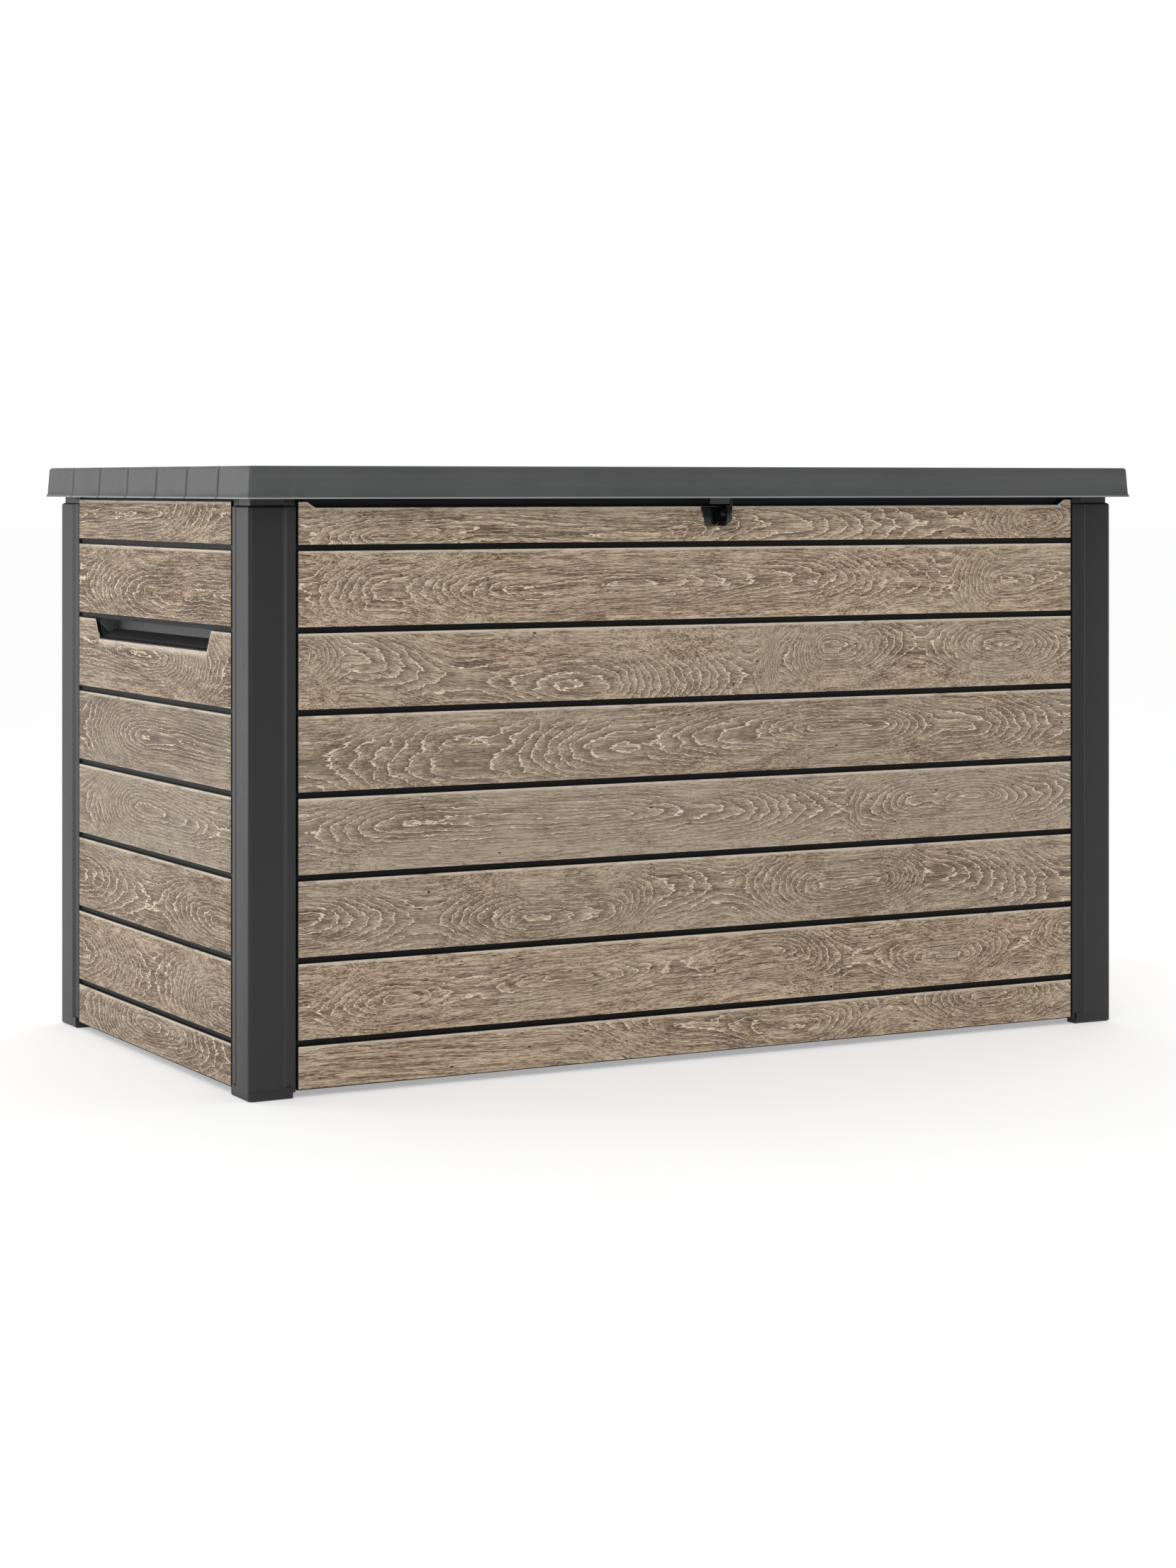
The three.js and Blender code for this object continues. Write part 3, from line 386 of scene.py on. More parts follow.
def oak_finish():
    """Printed oak. It reads what a board's mesh carries at each point. log_place is where the point lay in
    the log. board_place is how far it is below the top edge and above the foot. board_tone is how grey and
    how light the board is."""
    oak = Finish("weathered_oak", Specular_IOR_Level=0.3)
    log_place = oak.node("Attribute", {"attribute_name": "log_place"}, {}, output=1)
    board_place = oak.node("Attribute", {"attribute_name": "board_place"}, {}, output=1)
    board_tone = oak.node("Attribute", {"attribute_name": "board_tone"}, {}, output=1)

    def part(vector, axis):
        return oak.node("SeparateXYZ", {}, {0: vector}, output=axis)

    along, across, depth = (part(log_place, axis) for axis in range(3))
    greyness, lightness = part(board_tone, 0), part(board_tone, 1)
    drift = oak.noise(log_place, (5, 14, 14), detail=1)
    sway = oak.noise(log_place, (4, 8, 8), detail=1)
    wobble = oak.noise(log_place, (22, 80, 80), detail=2)
    tremble = oak.noise(log_place, (110, 380, 380), detail=1)
    heart_across = across + (sway - 0.5) * (HEART_SWAY * 2)
    heart_depth = depth + (drift - 0.5) * (HEART_DRIFT * 2)
    radius = (heart_across * heart_across + heart_depth * heart_depth).root()
    uneven = radius + along * RING_TAPER + (wobble - 0.5) * RING_WOBBLE + (tremble - 0.5) * RING_TREMBLE
    phase = (uneven / RING_PITCH).fraction()

    near = heart_across.size().rise(FIGURE_FAR, FIGURE_NEAR)
    patch = oak.noise(log_place, (7, 26, 26), detail=2)
    figure = near * patch.rise(0.26, 0.48)
    line = phase.rise(0.19, 0.08) * phase.rise(0.0, 0.03)
    shade = ((1 - phase) ** 1.8) * phase.rise(0.08, 0.2)

    streaks = oak.noise(log_place, (20, 520, 520), detail=4, roughness=0.7)
    fibres = oak.noise(log_place, (120, 1100, 1100), detail=2, roughness=0.6)
    bands = oak.noise(log_place, (5, 120, 120), detail=3, roughness=0.6)
    clouds = oak.noise(log_place, (4, 16, 16), detail=2)
    tone = lightness + (streaks - 0.5) * 2.6 + (fibres - 0.5) * 1.7
    tone = tone + (bands - 0.5) * 1.5 + (clouds - 0.5) * 0.7

    colour = oak.node("ValToRGB", {"stops": [(0.05, OAK_DEEP), (0.5, OAK_MID), (0.95, OAK_PALE)]}, {0: tone})
    grey_share = greyness * 0.8 + (clouds - 0.5) * 1.2
    colour = oak.blend(grey_share.rise(0.0, 1.0), colour, oak.blend(0.55, colour, OAK_GREY))
    colour = oak.blend(shade * (0.12 + figure * 0.86), colour, OAK_HEART)
    colour = oak.blend(line * (0.16 + figure * 0.84), colour, OAK_CREAM)

    pore_noise = oak.noise(log_place, (60, 900, 900), detail=1)
    pores = pore_noise.rise(0.64, 0.72)
    colour = oak.blend(pores * 0.55, colour, OAK_PORE)
    speck_noise = oak.noise(log_place, (95, 190, 190), detail=0)
    specks = speck_noise.rise(0.83, 0.86)
    colour = oak.blend(specks * 0.85, colour, OAK_PORE)

    from_top, from_foot = part(board_place, 1), part(board_place, 2)
    # pale edges: partly wear and partly a painted highlight on the rounded edges, stronger at the top than at
    # the foot
    wear_and_highlight_noise = oak.noise(log_place, (18, 70, 70), detail=3)
    top_wear_and_highlight = from_top.rise(0.0060, 0.0015) * wear_and_highlight_noise.rise(0.25, 0.5)
    foot_wear_and_highlight = from_foot.rise(0.0045, 0.001) * wear_and_highlight_noise.rise(0.45, 0.7)
    colour = oak.blend(top_wear_and_highlight * 0.85 + foot_wear_and_highlight * 0.35, colour, OAK_WEAR_AND_HIGHLIGHT)

    height = line * figure * 0.8 + streaks * 0.5 + fibres * 0.3 - shade * figure * 0.5 - pores * 0.5
    roughness = 0.72 - line * 0.12 - streaks * 0.12
    return oak.feed(Base_Color=colour, Roughness=roughness, Normal=oak.bump(height, OAK_EMBOSS))


weathered_oak = oak_finish()

# %% [markdown]
# ## Moulded plastics
#
# The posts, the lid, the walls' hidden resin, the liner and the grip cups are all moulded plastic, and what
# sets them apart is their texture. The steel tool they were moulded in was etched with a fine grain, which
# the plastic copies: the light breaks up on it, so it looks satin and not shiny. The lid's tool also had
# wood grain cut into it. One function makes them all, from a colour, a gloss and the size of that grain.

# %% The plastic finishes
LID_PLANKS = 7
SEAM_REACH = 7 * MM
# the seams' dark resin, deepened by painted shade
SEAM_BLACK_AND_SHADE = paint(15, 14, 14)
# painted shade for the bottoms of the lid's grooves, and a painted highlight for the plank edges and the lip
GROOVE_SHADE = paint(24, 24, 24)
EDGE_HIGHLIGHT = paint(150, 150, 150)


def lid_shade_and_highlights(plastic, place, lid, shown, patches):
    """Painted shade in the lid's grooves, and a painted highlight along one edge of each plank and along the
    lip.
    """
    low, high = lid
    y, z = (plastic.node("SeparateXYZ", {}, {0: place}, output=axis) for axis in (1, 2))
    pitch = (high.y - low.y) / LID_PLANKS
    from_groove = (((y - low.y) / pitch + 0.5).fraction() - 0.5) * pitch
    off_skirts = y.size().rise(high.y - 8 * MM, high.y - 16 * MM)
    # painted shade in each groove, and a painted highlight on one wall of each groove and along the lip's
    # bottom
    groove_shade = off_skirts * from_groove.size().rise(3.6 * MM, 2.4 * MM)
    plank_edge_highlight = off_skirts * from_groove.rise(3.2 * MM, 4.0 * MM) * from_groove.rise(6.6 * MM, 5.4 * MM)
    lip = z.rise(low.z + 2.6 * MM, low.z + 1.4 * MM)
    shown = plastic.blend(groove_shade, shown, GROOVE_SHADE)
    painted_highlight = (plank_edge_highlight * 0.55).larger(lip) * (0.6 + patches * 0.5)
    return plastic.blend(painted_highlight, shown, EDGE_HIGHLIGHT)


def plastic_finish(name, colour, gloss, grain, grain_depth, wood_grain=0.0, lid=None, shaded=None):
    """Moulded plastic, etched with that many bumps in a metre. It may have wood grain along X, the painted
    groove shade and edge highlights of a lid given by its box, or, on a duller piece, a black outside beyond a
    distance in x and in y, which is the seams' dark resin deepened by painted shade."""
    plastic = Finish(name, Specular_IOR_Level=0.2 if shaded else 0.5)
    place = plastic.node("TexCoord", {}, {}, output=3)
    etched = plastic.noise(place, (grain, grain, grain), detail=3, roughness=0.6)
    patches = plastic.noise(place, (7, 7, 7), detail=3)
    scuffs = plastic.noise(place, (9, 60, 60), detail=4, roughness=0.7).rise(0.56, 0.78)
    height = etched
    tone = (patches - 0.5) * 0.5 + (etched - 0.5) * 0.6 + 0.5
    if wood_grain:
        rings = plastic.noise(place, (5, 95, 95), detail=4, roughness=0.65)
        height = etched * 0.45 + rings * wood_grain
        tone = tone + (rings - 0.5) * 0.5
    dark = tuple(part * 0.80 for part in colour[:3]) + (1.0,)
    light = tuple(min(1.0, part * 1.22) for part in colour[:3]) + (1.0,)
    shown = plastic.blend(tone.rise(0.1, 0.9), dark, light)
    if shaded:
        # painted shade: the resin's outer few millimetres, in the seams and the front notch, are painted
        # near-black
        x, y = (plastic.node("SeparateXYZ", {}, {0: place}, output=axis).size() for axis in (0, 1))
        outside = x.rise(shaded[0] - 1 * MM, shaded[0]).larger(y.rise(shaded[1] - 1 * MM, shaded[1]))
        shown = plastic.blend(outside, shown, SEAM_BLACK_AND_SHADE)
    if lid:
        shown = lid_shade_and_highlights(plastic, place, lid, shown, patches)
    roughness = gloss + (patches - 0.5) * 0.10 + scuffs * 0.10
    return plastic.feed(Base_Color=shown, Roughness=roughness, Normal=plastic.bump(height, grain_depth))


post_plastic = plastic_finish("post_plastic", paint(30, 30, 31), 0.46, 700, 0.10 * MM)
lid_plastic = plastic_finish("lid_plastic", paint(76, 77, 77), 0.50, 520, 0.26 * MM, 1.2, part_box("lid_cover"))
wall_high_x, wall_high_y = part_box("right_panel")[1].x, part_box("rear_panel")[1].y
wall_resin = plastic_finish("wall_resin", paint(46, 46, 46), 0.55, 600, 0.08 * MM,
                            shaded=(wall_high_x - SEAM_REACH, wall_high_y - SEAM_REACH))
liner_plastic = plastic_finish("liner_plastic", paint(56, 57, 58), 0.55, 600, 0.10 * MM)
cup_plastic = plastic_finish("cup_plastic", paint(50, 51, 52), 0.48, 600, 0.08 * MM)

# %% [markdown]
# The latch is the one glossy piece: hard black plastic from a polished tool, with a clear skin that mirrors
# the lights. The struts' sockets are the same plastic, a little duller.

# %% The glossy black finish
def gloss_finish(name, roughness):
    """Polished black plastic with fine wipe marks in its gloss."""
    gloss = Finish(name, Specular_IOR_Level=0.25, Coat_Weight=0.5, Coat_Roughness=0.06)
    place = gloss.node("TexCoord", {}, {}, output=3)
    marks = gloss.noise(place, (80, 240, 80), detail=4, roughness=0.7)
    shown = gloss.blend(marks.rise(0.35, 0.75), paint(5, 5, 6), paint(12, 12, 13))
    waves = gloss.noise(place, (160, 160, 160), detail=1)
    return gloss.feed(Base_Color=shown, Roughness=roughness + marks * 0.12,
                      Normal=gloss.bump(waves, 0.05 * MM))


latch_gloss = gloss_finish("latch_gloss", 0.14)
socket_plastic = gloss_finish("socket_plastic", 0.34)

# %% [markdown]
# The metal parts have three finishes. Hinges, brackets and screws are zinc plated, which is grey with faint
# crystals. The struts' rods and studs are ground steel, with fine marks round them. The struts' tubes are
# painted black over steel.

# %% The metal finishes
def metal_finish(name, colour, roughness, marks_scale, marks_depth, metallic=1.0):
    """Bare or plated metal. marks_scale is how many marks go in a metre along X, Y and Z."""
    metal = Finish(name, Metallic=metallic)
    place = metal.node("TexCoord", {}, {}, output=3)
    marks = metal.noise(place, marks_scale, detail=3, roughness=0.6)
    bloom = metal.noise(place, (60, 60, 60), detail=4, roughness=0.7)
    dull = tuple(part * 0.72 for part in colour[:3]) + (1.0,)
    shown = metal.blend((bloom * 0.6 + marks * 0.4).rise(0.35, 0.65), dull, colour)
    return metal.feed(Base_Color=shown, Roughness=roughness + bloom * 0.16,
                      Normal=metal.bump(marks, marks_depth))


zinc_plate = metal_finish("zinc_plate", (0.56, 0.58, 0.60, 1), 0.28, (260, 260, 260), 0.03 * MM)
ground_steel = metal_finish("ground_steel", (0.72, 0.73, 0.74, 1), 0.12, (60, 900, 900), 0.01 * MM)
black_tube = metal_finish("black_tube", (0.012, 0.012, 0.013, 1), 0.26, (400, 400, 400), 0.03 * MM, 0.15)

# %% [markdown]
# ## Tools for making pieces
#
# Each piece is a closed skin of faces. Three ways of making one cover the whole box: rings of points joined
# up one after another, a flat outline given thickness and rounded edges, and a profile turned round an axis.
# The first is plain bmesh. The second uses a filled 2D curve, which rounds its own edges and can have holes.
# All of them put the piece straight where the frame says, so nothing is moved afterwards.

# %% Put a mesh on the box
def settle(name, mesh, finish, body, stands_for=()):
    """Makes a mesh a piece of the box: it rides on a body, has a finish, and may stand for CAD nodes."""
    piece = bpy.data.objects.new(name, mesh)
    scene.collection.objects.link(piece)
    mesh.materials.clear()
    mesh.materials.append(finish)
    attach(piece, body)
    if stands_for:
        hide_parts(*stands_for)
    return piece


def smooth(mesh, angle=35):
    """Shades faces smoothly except across edges sharper than an angle in degrees."""
    work = bmesh.new()
    work.from_mesh(mesh)
    for face in work.faces:
        face.smooth = True
    for edge in work.edges:
        edge.smooth = len(edge.link_faces) == 2 and edge.calc_face_angle(0) < math.radians(angle)
    work.to_mesh(mesh)
    work.free()
    return mesh


def closed_rings(name, rings):
    """A skin over rings of points, each joined to the next, with a face over each end."""
    work = bmesh.new()
    made = [[work.verts.new(point) for point in ring] for ring in rings]
    count = len(rings[0])
    for lower, upper in zip(made, made[1:]):
        for i in range(count):
            after = (i + 1) % count
            work.faces.new((lower[i], lower[after], upper[after], upper[i]))
    work.faces.new(reversed(made[0]))
    work.faces.new(made[-1])
    bmesh.ops.recalc_face_normals(work, faces=work.faces)
    mesh = bpy.data.meshes.new(name)
    work.to_mesh(mesh)
    work.free()
    return mesh


def arc(centre, radius, start, end, steps):
    """Points of a round from one angle to another, in degrees."""
    turn = [math.radians(start + (end - start) * i / steps) for i in range(steps + 1)]
    return [(centre[0] + radius * math.cos(a), centre[1] + radius * math.sin(a)) for a in turn]


# %% Make a flat plate, and turn a profile
def rounded_plate(name, outlines, thickness, rounding, place):
    """A flat plate with rounded edges and holes. outlines are loops of points, and place is its matrix."""
    curve = bpy.data.curves.new(name, "CURVE")
    curve.dimensions = "2D"
    curve.fill_mode = "BOTH"
    curve.extrude = thickness / 2 - rounding
    curve.bevel_depth = rounding
    curve.bevel_resolution = 3
    curve.offset = -rounding
    for outline in outlines:
        spline = curve.splines.new("POLY")
        spline.points.add(len(outline) - 1)
        for point, (x, y) in zip(spline.points, outline):
            point.co = (x, y, 0, 1)
        spline.use_cyclic_u = True
    holder = bpy.data.objects.new(name, curve)
    mesh = bpy.data.meshes.new_from_object(holder)
    bpy.data.objects.remove(holder)
    bpy.data.curves.remove(curve)
    work = bmesh.new()
    work.from_mesh(mesh)
    bmesh.ops.remove_doubles(work, verts=work.verts, dist=0.002 * MM)
    bmesh.ops.transform(work, matrix=place, verts=work.verts)
    bmesh.ops.recalc_face_normals(work, faces=work.faces)
    work.to_mesh(mesh)
    work.free()
    mesh.name = name
    return smooth(mesh)


def turned(name, profile, start, end, sides=40):
    """A solid turned about the line from start to end. profile is [along, radius] in metres."""
    start, end = Vector(start), Vector(end)
    line = (end - start).normalized()
    side = line.cross(Vector((1, 0, 0)) if abs(line.x) < 0.9 else Vector((0, 0, 1))).normalized()
    other = line.cross(side)
    rings = []
    for along, radius in profile:
        ring = [start + line * along + radius * (side * math.cos(a) + other * math.sin(a))
                for a in (2 * math.pi * i / sides for i in range(sides))]
        rings.append(ring)
    return smooth(closed_rings(name, rings))


def merged(name, *meshes):
    """Several closed skins as one mesh."""
    work = bmesh.new()
    for mesh in meshes:
        work.from_mesh(mesh)
    made = bpy.data.meshes.new(name)
    work.to_mesh(made)
    work.free()
    return smooth(made)


# %% [markdown]
# ## The boards
#
# The CAD walls are ribbed resin panels with seams moulded across them. On the real wall only the raised
# boards carry the printed oak, and the resin shows in the seams. So each board here is its own thin shell
# over the panel's board, with soft edges that turn into the seams. The heights of the seams aren't written
# again: they are read off the corners of the CAD panel.
#
# Boards could all be cut from one pattern, but the eye finds a repeat at once. Each has its own heart line, a
# few chosen points along the board that say how far above or below its middle the heart of the tree lay, and
# how deep under its face. A shallow heart makes arches and ovals, and a deep one makes straight grain.

# %% Read the board edges off a panel
def board_levels(node, axis):
    """A CAD panel's board heights, top board first, its half length, and how far out its face is."""
    corners = [vertex.co for vertex in frame["nodes"][node].data.vertices]
    outer = max(abs(corner[1 - axis]) for corner in corners)
    on_face = [corner for corner in corners if abs(abs(corner[1 - axis]) - outer) < 0.01 * MM]
    half = max(abs(corner[axis]) for corner in on_face)
    levels = sorted({round(corner.z, 5) for corner in on_face if abs(abs(corner[axis]) - half) < 0.1 * MM})
    return list(zip(levels[0::2], levels[1::2]))[::-1], half, outer


front_levels, front_half, front_face = board_levels("front_panel", 0)
end_levels, end_half, end_face = board_levels("left_panel", 1)
tallest = max(top - bottom for bottom, top in front_levels)
print(len(front_levels), "boards on each wall, the tallest", round(tallest / MM), "millimetres")

# %% Build one board
BOARD_PROUD = 0.4 * MM
BOARD_SET_IN = 0.7 * MM
BOARD_ROUND = 1.5 * MM
BOARD_DEEP = 1.6 * MM
BOARD_STEP = 16 * MM
GRIP_MOUTH = 29.5 * MM
# the pale band at the grip's mouth is partly wear from hands and partly a painted highlight on its lip
GRIP_WEAR_AND_HIGHLIGHT = 0.5


def heart_at(heart, share):
    """The heart line's (across, depth) at a share of the board's length, eased between its points."""
    for (s0, a0, d0), (s1, a1, d1) in zip(heart, heart[1:]):
        if share <= s1:
            t = (share - s0) / (s1 - s0)
            t = t * t * (3 - 2 * t)
            return a0 + (a1 - a0) * t, d0 + (d1 - d0) * t
    return heart[-1][1:]


def board_mesh(name, half, bottom, top, top_at, heart, log_start, place):
    """A board along X with its face at y = -BOARD_PROUD. top_at gives its top edge at a distance along it."""
    steps = round(2 * half / BOARD_STEP)
    stations = {-half, half, -half + BOARD_ROUND, half - BOARD_ROUND}
    stations |= {half * (2 * i / steps - 1) for i in range(1, steps)}
    stations |= {x for x, _ in top_at}
    rings, marks = [], []
    middle = (bottom + top) / 2
    for x in sorted(stations):
        sunk = BOARD_ROUND if abs(x) > half - BOARD_ROUND / 2 else 0
        ceiling = top
        for (x0, z0), (x1, z1) in zip(top_at, top_at[1:]):
            if x0 <= x <= x1:
                ceiling = z0 + (z1 - z0) * (x - x0) / (x1 - x0)
        low, high = bottom + BOARD_SET_IN, ceiling - BOARD_SET_IN
        face = BOARD_PROUD - sunk
        edge = face - BOARD_ROUND
        section = [(-BOARD_DEEP, low)]
        section += arc((edge, low + BOARD_ROUND), BOARD_ROUND, 270, 360, 4)
        section += [(face, low + (high - low) * share) for share in (0.25, 0.5, 0.75)]
        section += arc((edge, high - BOARD_ROUND), BOARD_ROUND, 0, 90, 4)
        section += [(-BOARD_DEEP, high)]
        rings.append([place @ Vector((x, -out, z)) for out, z in section])
        heart_across, heart_depth = heart_at(heart, (x + half) / (2 * half))
        for out, z in section:
            in_log = (x + log_start, z - middle - heart_across, heart_depth + out)
            # at the grip's mouth the pale top edge is twice as wide: partly wear, partly a painted highlight
            grip_wear_and_highlight = GRIP_WEAR_AND_HIGHLIGHT if ceiling < top - GRIP_MOUTH / 2 else 1
            marks.append((in_log, (0, (high - z) * grip_wear_and_highlight, z - low)))
    mesh = closed_rings(name, rings)
    for attribute, index in (("log_place", 0), ("board_place", 1)):
        layer = mesh.attributes.new(attribute, "FLOAT_VECTOR", "POINT")
        layer.data.foreach_set("vector", [number for mark in marks for number in mark[index]])
    return smooth(mesh, 50)


# %% [markdown]
# The front wall has the boards that everyone sees, so their heart lines are chosen one by one: long arches
# down the fourth board, nested arcs at the left end of the fifth, an eye in the sixth. The other walls take
# theirs from a seeded random choice, which comes out the same each time. The top board in front has a
# shallow step in its upper edge, where a hand reaches the latch.

# %% Choose the heart lines
FRONT_HEARTS = [
    [(0, -16, 30), (0.12, -16, 3), (0.22, -14, 12), (0.4, -20, 6), (0.6, -6, 30), (0.85, 0, 60), (0.96, 0, 8),
     (1, 4, 20)],
    [(0, -4, 90), (0.1, -6, 60), (0.26, -8, 14), (0.4, 0, 4), (0.6, 4, 22), (0.78, 2, 60), (0.82, 0, 66),
     (0.9, -4, 20), (1, 6, 30)],
    [(0, 18, 4), (0.06, 18, 40), (0.2, -20, 60), (0.35, -30, 40), (0.56, -32, 110), (0.6, 0, 60),
     (0.66, 16, 10), (0.78, 14, 50), (0.9, 12, 2), (1, 8, 40)],
    [(0, -16, 120), (0.2, -10, 84), (0.4, -4, 50), (0.55, 4, 22), (0.66, 8, 2), (0.72, 8, 3), (0.82, 4, 30),
     (1, 0, 60)],
    [(0, 6, 40), (0.12, 8, 14), (0.25, 8, 6), (0.36, 10, 2), (0.5, 4, 16), (0.68, 4, 50), (0.71, 0, 34),
     (0.78, 4, 14), (0.86, 8, 2), (0.95, 6, 26), (1, 6, 40)],
    [(0, -4, 20), (0.15, -10, 50), (0.28, -18, 4), (0.36, -14, 14), (0.44, 6, 50), (0.52, 6, 60),
     (0.67, 0, 4), (0.72, 2, 3), (0.8, 4, 40), (1, -20, 80)],
    [(0, -10, 40), (0.12, -6, 6), (0.2, 0, 16), (0.33, 6, 3), (0.45, 10, 20), (0.58, 20, 4), (0.7, 0, 40),
     (0.83, -6, 5), (0.93, 10, 40), (1, 14, 8)],
    [(0, 60, 60), (0.3, 50, 60), (0.48, 10, 30), (0.62, -6, 10), (0.75, 20, 50), (0.88, 14, 6), (1, 10, 40)],
]
GREYNESS = [0.20, 0.15, 0.50, 0.70, 0.95, 0.55, 0.20, 0.25]
LIGHTNESS = [0.60, 0.57, 0.60, 0.53, 0.70, 0.56, 0.62, 0.60]
# painted shade: the end walls' boards are made darker than the same oak in front
END_PAINTED_SHADE = 0.17
LOG_LENGTH = 3.7


def random_heart(dice, half):
    """A heart line for a board that nobody chose one for, with a point about every 0.3 metres."""
    across = dice.uniform(-30, 30)
    count = round(half * 2 / 0.3)
    depths = [dice.choice((5, 24, 50, 80)) for _ in range(count + 1)]
    return [(i / count, across + dice.uniform(-12, 12), depth) for i, depth in enumerate(depths)]


# %% Lay the boards on the four walls
NOTCH_DROP = 8 * MM
NOTCH_END = 14 * MM
NOTCH_SLOPE = 12 * MM
GRIP_TOP_HALF = 234 * MM
GRIP_BOTTOM_HALF = 218 * MM
GRIP_BOARD = 2
dice = random.Random(41)


def wall_boards(wall, levels, half, place, hearts, darker, cuts):
    """One shell for each board of a wall. cuts gives the shaped top edge of a board by its number."""
    for number, (bottom, top) in enumerate(levels):
        heart = hearts[number] if hearts else random_heart(dice, half)
        in_metres = [(share, across * MM, depth * MM) for share, across, depth in heart]
        name = f"{wall}_board_{number + 1}"
        log_start = LOG_LENGTH * dice.uniform(1, 9)
        mesh = board_mesh(name, half, bottom, top, cuts.get(number, []), in_metres, log_start, place)
        # darker is painted shade, taken off the board's lightness
        tone = (GREYNESS[number] + dice.uniform(-0.1, 0.1), LIGHTNESS[number] - darker, 0)
        layer = mesh.attributes.new("board_tone", "FLOAT_VECTOR", "POINT")
        layer.data.foreach_set("vector", tone * len(mesh.vertices))
        settle(name, mesh, weathered_oak, "box")


def standing_at(distance, turn):
    """The place of a wall whose face is that far from the middle, turned about Z by an angle in degrees."""
    return Matrix.Rotation(math.radians(turn), 4, "Z") @ Matrix.Translation((0, -distance, 0))


wood_top = front_levels[0][1]
notch_out = front_half - NOTCH_END
notch_in = notch_out - NOTCH_SLOPE
low_top = wood_top - NOTCH_DROP
front_cut = [(-notch_out, wood_top), (-notch_in, low_top), (notch_in, low_top), (notch_out, wood_top)]
grip_top = end_levels[GRIP_BOARD][1]
grip_low = grip_top - GRIP_MOUTH
grip_cut = [(-GRIP_TOP_HALF, grip_top), (-GRIP_BOTTOM_HALF, grip_low), (GRIP_BOTTOM_HALF, grip_low),
            (GRIP_TOP_HALF, grip_top)]
wall_boards("front", front_levels, front_half, standing_at(front_face, 0), FRONT_HEARTS, 0,
            {0: front_cut})
wall_boards("rear", front_levels, front_half, standing_at(front_face, 180), None, 0, {})
wall_boards("left", end_levels, end_half, standing_at(end_face, -90), None, END_PAINTED_SHADE,
            {GRIP_BOARD: grip_cut})
wall_boards("right", end_levels, end_half, standing_at(end_face, 90), None, END_PAINTED_SHADE,
            {GRIP_BOARD: grip_cut})
print(4 * len(front_levels), "boards laid")

# %% [markdown]
# ## The corner posts
#
# Each post is one long moulding with an L-shaped section. Outside it has a flat face on each side of a round
# corner, then a bevel that drops to a flange beside the boards. It swells into a square foot at the ground,
# and near the top it draws in to a neck that goes up inside the lid. The outline is drawn once for a corner
# at the origin, and joined up through rings that are drawn in a little where an edge is round.

# %% Draw a post
POST_LEG = 70.5 * MM
POST_DEPTH = 26 * MM
POST_FACE = 50 * MM
POST_BEVEL = 7.5 * MM
POST_STEP = 4 * MM
POST_CORNER = 6 * MM
POST_SOFT = 1.6 * MM
POST_NECK = 4 * MM
FOOT_LEG = 65 * MM
FOOT_HEIGHT = 16 * MM
FOOT_ROUND = 3.5 * MM
POST_BELOW_SKIRT = 9 * MM
SHOULDER_ROUND = 4 * MM
ROUND_STEPS = 5


def softened(points, radius, steps=3):
    """An outline with its corners rounded by a small radius."""
    soft = []
    for i, point in enumerate(points):
        here, before, after = Vector(point), Vector(points[i - 1]), Vector(points[(i + 1) % len(points)])
        reach = min(radius, (before - here).length * 0.45, (after - here).length * 0.45)
        start = here + (before - here).normalized() * reach
        end = here + (after - here).normalized() * reach
        for k in range(steps + 1):
            t = k / steps
            soft.append((1 - t) ** 2 * start + 2 * t * (1 - t) * here + t ** 2 * end)
    return soft


def post_outline(inset, leg, stepped):
    """The post's section, drawn in by inset on its outer sides. The outer corner is at the origin."""
    flange = POST_STEP + inset / 2
    side = [(leg, inset)]
    if stepped:
        side = [(POST_FACE, inset), (POST_FACE + POST_BEVEL, flange), (leg, flange)]
    mirrored = [(y, x) for x, y in reversed(side)]
    outline = side + [(leg, POST_DEPTH), (POST_DEPTH, POST_DEPTH), (POST_DEPTH, leg)] + mirrored
    centre = POST_CORNER + inset
    corner = arc((centre, centre), POST_CORNER, 180, 270, 8)
    return [Vector(point) for point in corner] + softened(outline, POST_SOFT)


def loft(name, levels, corner, turn):
    """Rings at their heights, turned about Z and set on the corner."""
    spin = Matrix.Rotation(math.radians(turn), 4, "Z")
    move = Matrix.Translation(corner)
    rings = [[move @ spin @ Vector((point.x, point.y, z)) for point in outline] for z, outline in levels]
    return smooth(closed_rings(name, rings), 40)


def post_mesh(name, corner, turn, skirt_bottom, neck_top):
    """A post's shaft and foot, as two closed skins in one mesh."""
    turns = [math.pi / 2 * i / ROUND_STEPS for i in range(ROUND_STEPS + 1)]
    under = [(FOOT_ROUND * (1 - math.cos(a)), FOOT_ROUND * (1 - math.sin(a))) for a in turns]
    over = [(FOOT_HEIGHT - POST_SOFT * (1 - math.sin(a)), POST_SOFT * (1 - math.cos(a))) for a in turns]
    foot = [(z, post_outline(inset, FOOT_LEG, False)) for z, inset in under + over]
    top = skirt_bottom - POST_BELOW_SKIRT
    shoulder = [(top - SHOULDER_ROUND * (1 - math.sin(a)), SHOULDER_ROUND * (1 - math.cos(a))) for a in turns]
    shaft = [(FOOT_HEIGHT / 2, post_outline(POST_SOFT / 2, POST_LEG, True)),
             (FOOT_HEIGHT, post_outline(0, POST_LEG, True))]
    shaft += [(z, post_outline(inset, POST_LEG, True)) for z, inset in shoulder]
    shaft += [(neck_top - POST_SOFT, post_outline(POST_NECK, POST_LEG, True)),
              (neck_top, post_outline(POST_NECK + POST_SOFT, POST_LEG, True))]
    return merged(name, loft(name, shaft, corner, turn), loft(name, foot, corner, turn))


